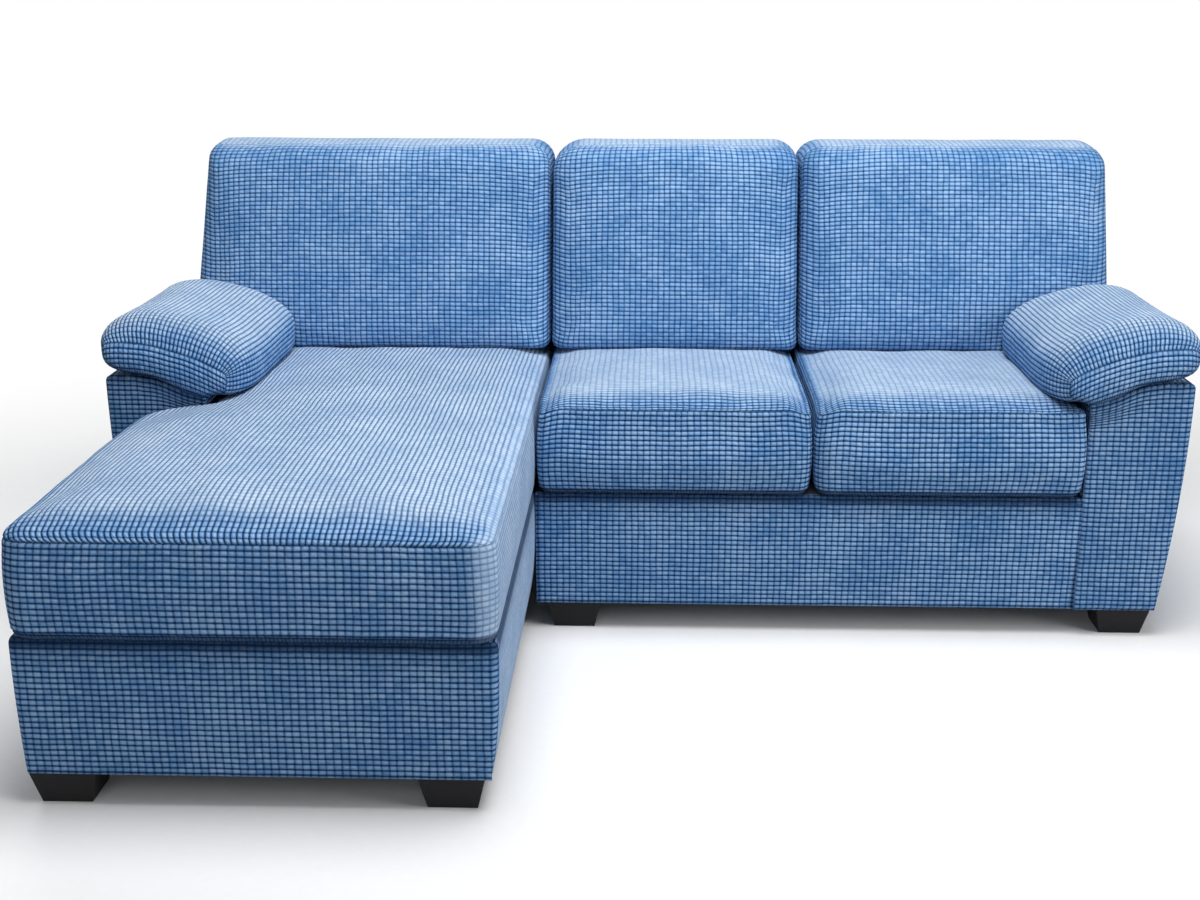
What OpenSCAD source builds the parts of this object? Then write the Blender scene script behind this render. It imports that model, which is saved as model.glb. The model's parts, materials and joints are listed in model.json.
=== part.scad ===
// Chaise sectional sofa in two modules. The two-seat module carries the right
// arm, the chaise module carries the left arm, and two pairs of steel hook
// plates join them. Six loose box cushions lie on sprung decks and lean on
// webbed back frames. Lengths are in millimetres, +Z is up, the front faces -Y,
// and the origin is on the floor under the middle of the sofa.

/* [Plan] */
// Depth of the back frame behind the back cushions, at the seats' tops
back_space = 211; // [190:1:260]
// How far the chaise stands out in front of the two-seat module
chaise_reach = 800; // [600:10:900]
// Distance between the inner faces of the two arms
inner_w = 1800; // [1700:10:1950]
// Width of the chaise seat, from its arm to the joint between the modules
chaise_seat_w = 676; // [630:2:730]
// How far the chaise widens in front of its arm
ear_w = 122; // [80:2:150]
// Gap between the two modules, where the hook plates sit
module_gap = 8; // [8:0.5:12]

/* [Seat] */
// Height of the covers' lower edge above the floor
hem_h = 60; // [50:1:90]
// How far the covers are drawn in at their lower edge
hem_pull = 8; // [2:1:14]
// How far the chaise's right side is drawn in at its lower edge
side_pull = 16; // [2:1:20]
// Height of the decks above the floor
deck_h = 303; // [290:1:330]
// Thickness of a seat cushion at its edge
seat_t = 192; // [160:2:200]
// Rise of a seat cushion's top above its seam
seat_crown = 16; // [4:1:18]
// Depth of the seat, from the front band to the back cushions
seat_depth = 474; // [450:2:500]
// How far the seat cushions stand out over the front bands
cushion_nose = 20; // [10:1:30]
// How far the joint between the two seat cushions lies to the right of the middle
seat_shift = 8; // [0:1:20]

/* [Back] */
// Lean of the back cushions from upright, in degrees
back_lean = 14; // [10:0.5:16]
// Level thickness of a back cushion at its seams
back_t = 245; // [200:5:250]
// Height of the back cushions' tops above the floor
back_top = 970; // [920:5:1000]
// Bulge of a back cushion's front beyond its seams
back_crown = 14; // [4:1:20]
// Width of the middle back cushion
middle_back_w = 578; // [520:2:600]
// How far the back frames run out over each arm
back_reach = 158; // [120:2:165]
// How far the left back cushion runs out over its arm
left_wing = 166; // [120:2:180]
// How much narrower the left back cushion is at its top
left_taper = 34; // [0:2:60]
// How far the right back cushion runs out over its arm
right_wing = 174; // [120:2:180]
// How much narrower the right back cushion is at its top
right_taper = 16; // [0:2:60]
// Height of the covered back frame above the floor
frame_top = 872; // [800:2:900]
// How far the outside back leans in at the hem
back_rake = 25; // [0:1:40]

/* [Arms] */
// Thickness of an arm at its widest
arm_w = 205; // [190:1:240]
// How far the outside of an arm curves in at the hem
arm_flare = 38; // [10:1:60]
// Height of an arm's covered top above the floor
arm_h = 548; // [530:1:580]
// Overhang of an arm pillow past the inner face of its arm
pillow_overhang = 103; // [60:1:110]
// How far an arm pillow stands out past the outside of its arm
pillow_proud = 13; // [0:1:20]
// Rise of an arm pillow above its widest line
pillow_rise = 64; // [45:1:75]
// Depth of an arm pillow below its widest line
pillow_drop = 65; // [55:1:75]
// How much lower the inner lip of an arm pillow hangs than its outer edge
pillow_droop = 64; // [40:1:66]
// Roundness of an arm pillow's outer edge: low is round, high is square
pillow_outer = 2.3; // [1.6:0.1:4]
// Roundness of an arm pillow's inner edge
pillow_inner = 3.2; // [1.6:0.1:4]
// How far an arm pillow stands out in front of its arm
pillow_nose = 14; // [5:1:25]

/* [Feet] */
// Width of a foot at its top
foot_top_w = 112; // [90:1:118]
// Width of a foot at the floor
foot_sole_w = 84; // [50:1:90]
// Distance from a module's side to the middle of a foot
foot_side = 66; // [60:1:90]
// Distance from a module's front to the middle of a foot
foot_front = 67; // [60:1:90]
// Distance from the lower edge of an arm or outside back to the middle of a foot
foot_back = 61; // [60:1:90]
// Diameter of the hanger bolts that hold the feet
bolt_d = 8; // [6:1:10]
// Depth of a foot's bolt hole
bolt_depth = 38; // [25:1:50]

/* [Frame] */
// Thickness of the padded covers
cover_t = 12; // [8:1:14]
// Thickness of the padded front bands and arm fronts
band_t = 18; // [14:1:20]
// Thickness of the frame boards
board_t = 22; // [18:1:24]
// Thickness of the plywood gussets and posts
ply_t = 18; // [12:1:20]
// Width of the rails cut from board inside the back and arms
rail_w = 60; // [40:2:70]
// Thickness of the deck pad over the springs
deck_t = 12; // [8:1:16]
// Thickness of the lining and dust cloth
cloth_t = 1.5; // [1:0.1:2]
// Thickness of the back webbing
web_t = 1.5; // [1:0.1:2]
// Width of a webbing strap
web_w = 50; // [30:1:60]
// Size of the square corner blocks
block_w = 100; // [90:1:110]
// Thickness of the corner blocks
block_t = 40; // [30:1:50]

/* [Springs] */
// Diameter of the spring wire
wire_d = 3.8; // [3:0.1:4.2]
// Spacing of the sinuous springs
spring_step = 130; // [100:5:160]
// Half the width of a sinuous spring
spring_amp = 22; // [15:1:28]
// Length of one full wave of a spring
spring_wave = 48; // [40:1:60]

/* [Hooks] */
// Thickness of the hook plates
plate_t = 2; // [1.5:0.1:2.5]
// Width of a hook
hook_w = 36; // [24:1:50]
// Height of the hook plates' lower edge above the floor
hook_z = 140; // [110:1:150]
// Height of a hook plate's foot, where its screws go
hook_foot = 52; // [40:1:60]
// Height of a hook's tongue above its bend
tongue_h = 42; // [30:1:44]
// Distance from the joint's front to the first pair of plates
hook_front = 210; // [150:5:300]
// Distance between the two pairs of plates
hook_step = 350; // [250:5:450]

/* [Cushion making] */
// Radius of the seat cushions' corners
seat_corner = 45; // [30:1:60]
// Radius of the back cushions' corners
back_corner = 48; // [30:1:60]
// Radius of the chaise cushion's corner beside the arm
ear_corner = 100; // [40:2:110]
// Share of the crown's half depth after which a seat's top runs on straight
crown_turn = 0.43; // [0.3:0.01:0.5]
// Rise of a seat's top under the lowest line of the back cushions
seat_rise = 2.2; // [1:0.1:4]
// How far a side bulges between its two seams
puff = 8; // [3:1:10]
// Radius of the soft edge round a cushion's face
soft_edge = 18; // [6:1:24]
// How far a side is drawn in halfway between its corners
pull = 6; // [0:1:10]
// Thickness of the cover and wadding round a foam core
wadding = 24; // [15:1:30]
// Length of a cushion's zip
zip_len = 380; // [200:10:420]

/* [Clearances] */
// Gap between pieces that move against each other
fit = 0.3; // [0.3:0.1:1]
// Gap between neighbouring cushions
side_gap = 1; // [0.8:0.1:3]

/* [Hidden] */

// Colours
blue = "#5f8fcf";
lining = "#22242a";
timber = "#c9a878";
plywood = "#b99560";
foam = "#f2e6b8";
steel = "#9aa0a6";
black = "#1e1c20";

// Places across the sofa
half_in = inner_w / 2;
arm_x = half_in + arm_w;
x_joint = chaise_seat_w - half_in;
love_x = x_joint + module_gap / 2;
chaise_x = x_joint - module_gap / 2;
ear_x = -half_in - ear_w;
back_x = half_in + back_reach;
seat_mid = (x_joint + half_in) / 2 + seat_shift;
back_mid = x_joint + middle_back_w;

// Places along the sofa
love_depth = seat_depth + back_t + back_space;
y_rear = (love_depth + chaise_reach + cushion_nose) / 2;
y_love = y_rear - love_depth;
y_chaise = y_love - chaise_reach;
arm_proud = 3;
y_arm = y_love - arm_proud;

// Heights
timber_lift = 8;
frame_z = hem_h + timber_lift;
clip_t = 8;
rail_top = deck_h - deck_t - clip_t;
seat_z = deck_h + fit;
seat_top = seat_z + seat_t;
back_z = seat_top + seat_rise + fit;
wing_z = arm_h + fit;

// Planes that lean: the back cushions' seams, the inside back and the outside
function rest_y(z) = y_love + seat_depth + (z - seat_top) * tan(back_lean);
function frame_y(z) = rest_y(z) + back_t + fit;
function out_y(z) = y_rear - back_rake * (frame_top - z) / (frame_top - hem_h);
y_deck_end = frame_y(deck_h) - fit;
y_seat_end = y_deck_end - fit;
y_rail_rear = out_y(hem_h) - cover_t;
spring_board_y = y_deck_end - board_t - 4;

// General shapes
function unit(v) = v / norm(v);
function arc(c, r, a0, a1, n) =
    [for (i = [0:n]) let (a = a0 + (a1 - a0) * i / n) c + r * [cos(a), sin(a)]];
function reversed(list) = [for (i = [len(list) - 1:-1:0]) list[i]];

// Extrudes an outline in (y, z) along X, or one in (x, z) along Y
module along_x(x0, x1) translate([x0, 0, 0]) rotate([90, 0, 90]) linear_extrude(x1 - x0) children();
module along_y(y0, y1) translate([0, y1, 0]) rotate([90, 0, 0]) linear_extrude(y1 - y0) children();
module block(low, high) translate(low) cube(high - low);

// Skin over closed loops of equal length, closed by a fan at each end
module loft(loops, low, high) {
    n = len(loops[0]);
    m = len(loops);
    points = concat([for (loop = loops) each loop], [low, high]);
    sides = [for (j = [0:m - 2], i = [0:n - 1]) let (k = (i + 1) % n)
        each [[j * n + i, j * n + n + i, j * n + n + k], [j * n + i, j * n + n + k, j * n + k]]];
    floor_fan = [for (i = [0:n - 1]) [m * n, i, (i + 1) % n]];
    top_fan = [for (i = [0:n - 1]) [m * n + 1, m * n - n + (i + 1) % n, m * n - n + i]];
    polyhedron(points, concat(sides, floor_fan, top_fan));
}

// Cushion outline: round corners [x, y, radius] and the sides between them,
// drawn in by pull, or by a fourth value of the corner that a side starts at
arc_steps = 3;
side_steps = 4;
function corner_run(p, c, q) =
    let (r = c[2], a = unit([c.x - p.x, c.y - p.y]), b = unit([q.x - c.x, q.y - c.y]))
    [for (i = [0:arc_steps]) let (t = 90 * i / arc_steps)
        [c.x, c.y] + r * ((sin(t) - 1) * a + (1 - cos(t)) * b)];
function side_run(c, q) =
    let (b = unit([q.x - c.x, q.y - c.y]), s = [c.x, c.y] + c[2] * b, e = [q.x, q.y] - q[2] * b,
        draw = len(c) > 3 ? c[3] : pull)
    [for (i = [1:side_steps]) let (t = i / (side_steps + 1))
        s + t * (e - s) + draw * sin(180 * t) * [-b.y, b.x]];
function outline(c) = let (n = len(c)) [for (i = [0:n - 1])
    each concat(corner_run(c[(i + n - 1) % n], c[i], c[(i + 1) % n]), side_run(c[i], c[(i + 1) % n]))];
function inset(o, e) = let (n = len(o)) [for (i = [0:n - 1])
    let (t = unit(o[(i + 1) % n] - o[(i + n - 1) % n])) o[i] + e * [-t.y, t.x]];

// Boxing of a cushion of thickness h: inset and height of each ring
function boxing(h) = let (k = soft_edge)
    [[puff + 12, 0], [puff + 3, 3], [puff, 12], [puff * 0.3, h * 0.3], [0, h * 0.5],
     [puff * 0.3, h * 0.7], [puff, h - k], [puff + 0.3 * k, h - 0.3 * k], [puff + k, h]];
crown_shares = [0.86, 0.66, 0.42, 0.2];

// Box cushion whose crown is a function of its plan, set in place by another
module cushion(corners, centre, h, crown, place) {
    o = outline(corners);
    top = inset(o, puff + soft_edge);
    sides = [for (s = boxing(h)) [for (p = inset(o, s[0])) place([p.x, p.y, s[1]])]];
    dome = [for (f = crown_shares) [for (p = top)
        let (q = centre + f * (p - centre)) place([q.x, q.y, h + crown(q)])]];
    loft(concat(sides, dome), place([centre.x, centre.y, 0]),
        place([centre.x, centre.y, h + crown(centre)]));
}

// Hill of height 1 that falls to 0 a distance r from its middle, and the same
// hill with its far slope straight from a distance a to a distance b
function hill(d, r, p) = max(0, 1 - pow(abs(d) / r, p));
function long_hill(d, r, p, a, b) = d < a ? hill(d, r, p) : hill(a, r, p) * max(0, (b - d) / (b - a));

// Seat cushions: a plain box, or the chaise's box with its ear before the arm
visible_y = [y_love - cushion_nose, y_love + seat_depth];
function on_deck(p) = [p.x, p.y, p.z + seat_z];
function seat_corners(x0, x1) =
    [[x0, visible_y[0], seat_corner], [x1, visible_y[0], seat_corner],
     [x1, y_seat_end, seat_corner], [x0, y_seat_end, seat_corner]];
crown_end_y = y_seat_end - puff - soft_edge;
module seat_cushion(x0, x1) {
    mid = [(x0 + x1) / 2, (visible_y[0] + visible_y[1]) / 2];
    half = (visible_y[1] - visible_y[0]) / 2;
    cushion(seat_corners(x0, x1), mid, seat_t,
        function (q) seat_crown * hill(q.x - mid.x, (x1 - x0) / 2, 2.5)
            * long_hill(q.y - mid.y, half, 2.5, crown_turn * half, crown_end_y - mid.y),
        function (p) on_deck(p));
}
notch_r = 2;
ear_y = y_arm - side_gap;
chaise_nose_y = y_chaise - cushion_nose;
ear_left = ear_x - 1;
chaise_edge = x_joint - side_gap / 2;
chaise_corners = [[ear_left, chaise_nose_y, seat_corner], [chaise_edge, chaise_nose_y, seat_corner],
    [chaise_edge, y_seat_end, seat_corner], [-half_in + side_gap, y_seat_end, seat_corner],
    [-half_in + side_gap, ear_y, notch_r], [ear_left, ear_y, min(ear_corner, ear_w - 2 * notch_r)]];
chaise_mid = [(ear_left + chaise_edge) / 2, (chaise_nose_y + y_seat_end) / 2];
// Left edge of the chaise seat, easing from the ear to the arm's inner face
ease_front = 200;
ease_rear = 60;
function chaise_left(y) =
    ear_x + ear_w * min(1, max(0, (y - ear_y + ease_front) / (ease_front + ease_rear)));
// Its crown is flatter along the chaise, and runs on straight later
long_power = 6;
long_turn = 0.77;
function chaise_rise(q) =
    let (x0 = chaise_left(q.y), w = chaise_edge - x0,
        mid = (chaise_nose_y + visible_y[1]) / 2, half = (visible_y[1] - chaise_nose_y) / 2)
    seat_crown * hill(q.x - x0 - w / 2, w / 2, 2.5)
    * long_hill(q.y - mid, half, long_power, long_turn * half, crown_end_y - mid);
module chaise_cushion()
    cushion(chaise_corners, chaise_mid, seat_t, function (q) chaise_rise(q), function (p) on_deck(p));

// Back cushions lean: a level section slides back as it rises, and the top
// falls a little towards the rear
back_h = back_top - back_z;
top_fall = 24;
function leaned(p) =
    let (back = back_t - p.z, z = back_z + p.y - top_fall * max(0, back / back_t - 0.5) * p.y / back_h)
    [p.x, rest_y(z) + back, z];
module back_cushion(corners, x0, x1) {
    mid = [(x0 + x1) / 2, back_h / 2];
    cushion(corners, mid, back_t,
        function (q) back_crown * hill(q.x - mid.x, (x1 - x0) / 2, 2.5)
            * hill(q.y - mid.y, back_h / 2, 2.5),
        function (p) leaned(p));
}
low_corner = 25;
wing_corner = 12;
function outer_back_corners(x0, x1, taper) =
    [[x0, 0, low_corner, 0], [half_in - side_gap, 0, low_corner],
     [half_in - side_gap, wing_z - back_z, wing_corner], [x1, wing_z - back_z, low_corner],
     [x1 - taper, back_h, back_corner], [x0, back_h, back_corner]];
middle_x = [x_joint + side_gap / 2, back_mid - side_gap / 2];
middle_corners = [[middle_x[0], 0, low_corner, 0], [middle_x[1], 0, low_corner],
    [middle_x[1], back_h, back_corner], [middle_x[0], back_h, back_corner]];

// Foam cores fill the covers' hollows; e grows or shrinks the shape all round
module seat_core(x0, x1, y0, y1, e)
    block([x0 + wadding - e, y0 + wadding - e, seat_z + wadding - e],
        [x1 - wadding + e, y1 - wadding + e, seat_top - wadding + e]);
module chaise_core(e) {
    seat_core(-half_in + side_gap, chaise_edge, chaise_nose_y, y_seat_end, e);
    seat_core(ear_left, -half_in + side_gap + 3 * wadding, chaise_nose_y, ear_y - ear_corner / 2, e);
}
module back_core(x0, x1, z0, z1, e) along_x(x0 + wadding - e, x1 - wadding + e)
    let (low = z0 + wadding - e, high = z1 - wadding - top_fall + e, deep = back_t - wadding + e)
    polygon([for (s = [[low, wadding - e], [low, deep], [high, deep], [high, wadding - e]])
        [rest_y(s[0]) + s[1], s[0]]]);
module outer_back_core(x0, x1, e) difference() {
    back_core(x0, x1, back_z, back_top, e);
    block([half_in - side_gap - wadding + e, y_love, back_z], [x1, y_rear, wing_z + wadding - e]);
}

// Zip in the rear boxing of a seat cushion
zip_w = 24;
zip_t = 3;
tape_t = 1.5;
slider_run = 12;
module zip_pocket(x_mid)
    block([x_mid - zip_len / 2 - fit, y_seat_end - pull - zip_t, seat_z + (seat_t - zip_w) / 2 - fit],
        [x_mid + zip_len / 2 + fit, y_seat_end + fit, seat_z + (seat_t + zip_w) / 2 + fit]);
module zip(x_mid) color(black) {
    y0 = y_seat_end - pull - zip_t;
    z0 = seat_z + seat_t / 2;
    block([x_mid - zip_len / 2, y0, z0 - zip_w / 2], [x_mid + zip_len / 2, y0 + tape_t, z0 + zip_w / 2]);
    block([x_mid - zip_len / 2, y0, z0 - zip_t], [x_mid + zip_len / 2, y0 + zip_t, z0 + zip_t]);
    translate([x_mid + zip_len / 2 - slider_run, y0, z0 - zip_w / 4])
        cube([slider_run, zip_t + tape_t, zip_w / 2]);
}

// Arm section, seen from the front: flared outside, top shaped by the pillow
pillow_out = arm_x + pillow_proud;
pillow_in = half_in - pillow_overhang;
pillow_mid_z = arm_h + pillow_drop + 2;
function lens(t, n) = pow(max(0, 1 - pow(abs(2 * t - 1), n)), 1 / n);
function pillow_sag(t) = pillow_mid_z - pillow_droop * t * t;
function pillow_under(t) = pillow_sag(t) - pillow_drop * lens(t, 4);
function pillow_over(t) = lens(t, t < 0.5 ? pillow_outer : pillow_inner);
function arm_out(z) = arm_x - arm_flare * pow(1 - (z - hem_h) / (arm_h - hem_h), 2);
function arm_top(x) = min(arm_h, pillow_under((pillow_out - x) / (pillow_out - pillow_in)) - fit);
arm_round = 22;
arm_cut_x = arm_x - arm_round;
flare_steps = 6;
top_steps = 7;
function flare_run(e, z0) = [for (i = [0:flare_steps])
    let (z = z0 + (arm_h - arm_round - z0) * i / flare_steps) [arm_out(z) - e, z]];
function round_run(e) = arc([arm_cut_x, arm_h - arm_round], arm_round - e, 15, 90, 5);
function top_run(e, x0, i0 = 0) = [for (i = [i0:top_steps])
    let (x = arm_cut_x + (x0 - arm_cut_x) * i / top_steps) [x, arm_top(x) - e]];
function arm_outline(e, z0) =
    concat([[half_in + e, z0]], flare_run(e, z0), round_run(e), top_run(e, half_in + e, 1));

// Keeps what lies in front of the raked outside back
module before_back() intersection() {
    children();
    along_x(half_in, arm_x) polygon([[y_love, hem_h], [out_y(hem_h) - cover_t, hem_h],
        [out_y(arm_h) - cover_t, arm_h], [y_love, arm_h]]);
}
module arm_front_panel() color(blue) {
    layers = [[y_arm, 9], [y_arm + 2, 4], [y_arm + 6, 0], [y_love + band_t, 0]];
    loops = [for (s = layers)
        [for (p = reversed(arm_outline(s[1], hem_h + s[1] / 2))) [p.x, s[0], p[1]]]];
    mid = [half_in + arm_w / 2, 0, (hem_h + arm_h) / 2];
    loft(loops, mid + [0, y_arm, 0], mid + [0, y_love + band_t, 0]);
}
module arm_outside_panel() color(blue) before_back() along_y(y_love + band_t, y_rear)
    polygon(concat(flare_run(0, hem_h), round_run(0), reversed(round_run(cover_t)),
        reversed(flare_run(cover_t, hem_h))));
module arm_inside_panel() color(blue) before_back() along_y(y_love + band_t, y_rear)
    polygon(concat([[half_in, frame_z]], reversed(top_run(0, half_in)),
        top_run(cover_t, half_in + cover_t), [[half_in + cover_t, frame_z]]));

// Three ring-shaped gussets joined by four rails
gusset_rim = 40;
module arm_frame() color(plywood) {
    y0 = y_love + band_t;
    inner = half_in + cover_t;
    for (y = [y0, (y0 + y_rail_rear) / 2, y_rail_rear - ply_t]) along_y(y, y + ply_t) difference() {
        intersection() {
            polygon(arm_outline(cover_t, hem_h));
            translate([half_in, frame_z]) square([arm_w, arm_h]);
        }
        translate([inner + gusset_rim, frame_z + block_t + gusset_rim])
            square([dust_x - inner - 2 * gusset_rim, arm_h - frame_z - block_t - 3 * gusset_rim]);
    }
    for (z = [frame_z + block_t, arm_top(inner) - cover_t - rail_w - 6])
        block([inner, y0, z], [inner + ply_t, y_rail_rear, z + rail_w]);
    for (z = [frame_z + block_t, arm_h - cover_t - arm_round - rail_w - 10])
        block([arm_out(z) - cover_t - ply_t - 2, y0, z], [arm_out(z) - cover_t - 2, y_rail_rear, z + rail_w]);
}

// Arm pillow: one section, drawn smaller towards its ends
pillow_steps = 12;
pillow_front = y_arm - pillow_nose;
pillow_rear = rest_y(arm_h) - back_crown - 2;
function pillow_section(e) =
    let (ts = [for (i = [0:pillow_steps]) (1 - cos(180 * i / pillow_steps)) / 2],
        x = function (t) pillow_out - e - (pillow_out - pillow_in - 2 * e) * t)
    concat([for (t = ts) [x(t), pillow_sag(t) - (pillow_drop - e) * lens(t, 4)]],
        [for (i = [pillow_steps - 1:-1:1]) let (t = ts[i])
            [x(t), pillow_sag(t) + (pillow_rise - e) * pillow_over(t)]]);
module arm_pillow() color(blue) {
    run = pillow_rear - pillow_front;
    stations = [[0, 30], [4, 16], [14, 6], [36, 0], [run * 0.45, 2], [run - 60, 0],
        [run - 24, 8], [run - 6, 20], [run, 34]];
    place = function (s, p) [p.x, pillow_front + s[0] + (p[1] - arm_h) * tan(back_lean) * s[0] / run, p[1]];
    mid = [(pillow_out + pillow_in) / 2, pillow_mid_z - pillow_droop / 4];
    loft([for (s = stations) [for (p = pillow_section(s[1])) place(s, p)]],
        place(stations[0], mid), place(stations[len(stations) - 1], mid));
}

// Bands and side covers: a padded strip whose lower edge is drawn in
band_round = 14;
band_roll = 8;
band_steps = 6;
function band_face(face, inward, drawn) = concat(
    [for (i = [0:band_steps]) [face + inward * drawn * pow(1 - i / band_steps, drawn > hem_pull ? 3 : 2),
        hem_h + (deck_h - band_round - hem_h) * i / band_steps]],
    [for (a = [22.5:22.5:90])
        [face + inward * band_roll * (1 - cos(a)), deck_h - band_round * (1 - sin(a))]]);
function band(face, inward, t, drawn) = concat(band_face(face, inward, drawn),
    [[face + inward * t, deck_h], [face + inward * t, hem_h]]);

// Base boards
module board_x(x0, x1, y0) color(timber) block([x0, y0, frame_z], [x1, y0 + board_t, rail_top]);
module board_y(x0, y0, y1) color(timber) block([x0, y0, frame_z], [x0 + board_t, y1, rail_top]);
love_end_x = love_x + cloth_t;
dust_x = arm_out(hem_h) - cover_t;
love_boards_y = [y_love + band_t, spring_board_y, y_rail_rear - board_t];
side_t = cover_t + side_pull - hem_pull;
chaise_side_x = chaise_x - side_t;
chaise_right_x = chaise_side_x - board_t;
chaise_ear_x = ear_x + cover_t;
chaise_front_y = y_chaise + band_t;

// Feet: centre of each, and the corner block over it
foot_arm_x = arm_out(hem_h) - foot_back;
foot_y_rear = out_y(hem_h) - foot_back;
foot_inner = foot_side + side_pull;
love_foot_x = love_x + foot_side + hem_pull;
love_feet_at = [[love_foot_x, y_love + foot_front], [foot_arm_x, y_love + foot_front],
    [foot_arm_x, foot_y_rear], [love_foot_x, foot_y_rear]];
chaise_foot_x = chaise_x - foot_inner;
chaise_feet_at = [[ear_x + foot_side, y_chaise + foot_front], [chaise_foot_x, y_chaise + foot_front],
    [chaise_foot_x, foot_y_rear], [-foot_arm_x, foot_y_rear]];
foot_top = frame_z - cloth_t;
foot_rim_z = hem_h - fit;
foot_pad_w = 2 * (min(foot_back - cover_t, foot_front - band_t) - 1);
washer_t = 3;
module foot_side_shape() polygon([[-foot_sole_w / 2, 0], [foot_sole_w / 2, 0],
    [foot_top_w / 2, foot_rim_z], [foot_pad_w / 2, foot_rim_z], [foot_pad_w / 2, foot_top],
    [-foot_pad_w / 2, foot_top], [-foot_pad_w / 2, foot_rim_z], [-foot_top_w / 2, foot_rim_z]]);
module foot(at) translate([at.x, at.y, 0]) difference() {
    intersection() {
        along_x(-foot_top_w, foot_top_w) foot_side_shape();
        along_y(-foot_top_w, foot_top_w) foot_side_shape();
    }
    translate([0, 0, foot_top - bolt_depth]) cylinder(d = bolt_d + 2 * fit, h = bolt_depth + 1, $fn = 32);
}
module foot_bolt(at) translate([at.x, at.y, 0]) {
    translate([0, 0, foot_top - bolt_depth + 1])
        cylinder(d = bolt_d, h = block_t + cloth_t + bolt_depth, $fn = 32);
    translate([0, 0, frame_z + block_t]) cylinder(d = 3 * bolt_d, h = washer_t, $fn = 32);
}
module bolt_hole(at, d) translate([at.x, at.y, frame_z - 5])
    cylinder(d = d, h = block_t + 10, $fn = 32);
module corner_block(low, at) difference() {
    block([low.x, low.y, frame_z], [low.x + block_w, low.y + block_w, frame_z + block_t]);
    bolt_hole(at, bolt_d + 2 * fit);
}

// Sinuous spring from one clip to the next, lying along Y from the origin
wave_steps = 8;
module spring_run(run) {
    waves = round(run / spring_wave);
    steps = (waves + 0.25) * wave_steps;
    phase = function (i) 360 * i / wave_steps - 45;
    centre = function (i) [spring_amp * sin(phase(i)), run * phase(i) / 360 / waves];
    side = function (i, s) let (t = unit(centre(i + 0.5) - centre(i - 0.5)))
        centre(i) + s * wire_d / 2 * [-t.y, t.x];
    translate([0, 0, rail_top + (clip_t - wire_d) / 2]) linear_extrude(wire_d)
        polygon(concat([for (i = [0:steps]) side(i, 1)],
            [for (i = [steps:-1:0]) side(i, -1)]));
}
clip_w = 26;
clip_run = 11;
module clip(way) {
    t = (clip_t - wire_d) / 2 - 0.3;
    hook = [[-clip_run, 0], [clip_run, 0], [clip_run, t], [3 - clip_run, t],
        [3 - clip_run, clip_t - t], [clip_run, clip_t - t], [clip_run, clip_t], [-clip_run, clip_t]];
    translate([0, 0, rail_top]) along_x(-clip_w / 2, clip_w / 2)
        polygon([for (p = hook) [way * p.x, p.y]]);
}
module spring(run) color(steel) {
    spring_run(run);
    clip(1);
    translate([0, run, 0]) clip(-1);
}

// Back of a module whose inner end is at x_in, on the right-hand side
rail_z = frame_top - cover_t - board_t;
web_low = 90;
back_web_z = [for (i = [0:3]) deck_h + web_low + i * (rail_z - deck_h - web_low) / 4];
cap_round = 34;
cap_rear = 22;
web_level = web_t / cos(back_lean);
web_slack = 0.1;
function post_y(z) = frame_y(z) + cover_t / cos(back_lean) + web_level;
cap_front_c = [frame_y(frame_top - cap_round) + cap_round / cos(back_lean), frame_top - cap_round];
cap_rear_c = [out_y(frame_top - cap_rear) - cover_t - cap_rear, frame_top - cap_rear];
function cap_run(e) = concat([[frame_y(deck_h) + e / cos(back_lean), deck_h]],
    arc(cap_front_c, cap_round - e, 180 - back_lean, 90, 6), arc(cap_rear_c, cap_rear - e, 90, 0, 4));
module over_arm(x_out, z) block([half_in, y_love, 0], [x_out, y_rear + 1, z]);

module inside_back(x_in) color(blue) difference() {
    union() {
        along_x(x_in, back_x) polygon(concat(cap_run(0), reversed(cap_run(cover_t))));
        along_x(x_in, x_in + cloth_t) polygon(cap_end());
        along_x(back_x - cover_t, back_x) polygon(cap_end());
    }
    over_arm(back_x + 1, arm_h);
}
function cap_end() = concat(cap_run(0), [[out_y(deck_h) - cover_t, deck_h]]);
module outside_back(x_in) color(blue) intersection() {
    along_y(y_rear - back_rake - cover_t - 1, y_rear + 1) polygon(concat([[x_in, hem_h]],
        flare_run(0, hem_h), round_run(0), [[back_x, arm_h]],
        arc([back_x - cap_rear, frame_top - cap_rear], cap_rear, 0, 90, 4), [[x_in, frame_top]]));
    along_x(x_in, arm_x) polygon([[out_y(hem_h) - cover_t, hem_h], [out_y(hem_h), hem_h],
        [out_y(frame_top), frame_top], [out_y(frame_top) - cover_t, frame_top]]);
}
module post(x0, z0) let (z1 = max(z0, deck_h)) along_x(x0, x0 + ply_t)
    polygon([[post_y(z1), z0], [post_y(z1), z1], [post_y(rail_z), rail_z],
        [out_y(rail_z) - cover_t - 1, rail_z], [out_y(z0) - cover_t - 1, z0]]);
module back_posts(x_in, side) color(plywood) {
    for (x = [x_in + side, (x_in + half_in - ply_t) / 2, half_in - ply_t]) post(x, rail_top);
    post(back_x - cover_t - ply_t, arm_h);
}
module back_rails(x_in) color(timber) {
    x0 = x_in + cloth_t;
    x1 = back_x - cover_t;
    rear = cap_rear_c.x + cap_rear - cover_t - 1;
    front = post_y(rail_z);
    along_x(x0, x1) polygon([[front, rail_z], [rear, rail_z], [rear, rail_z + board_t / 2],
        [cap_rear_c.x, rail_z + board_t], [cap_front_c.x, rail_z + board_t],
        [front + board_t / 4, rail_z + board_t / 3]]);
    wing_rear = out_y(arm_h) - cover_t - 1;
    block([half_in, wing_rear - rail_w, arm_h], [x1 - ply_t, wing_rear, arm_h + board_t]);
}
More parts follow.
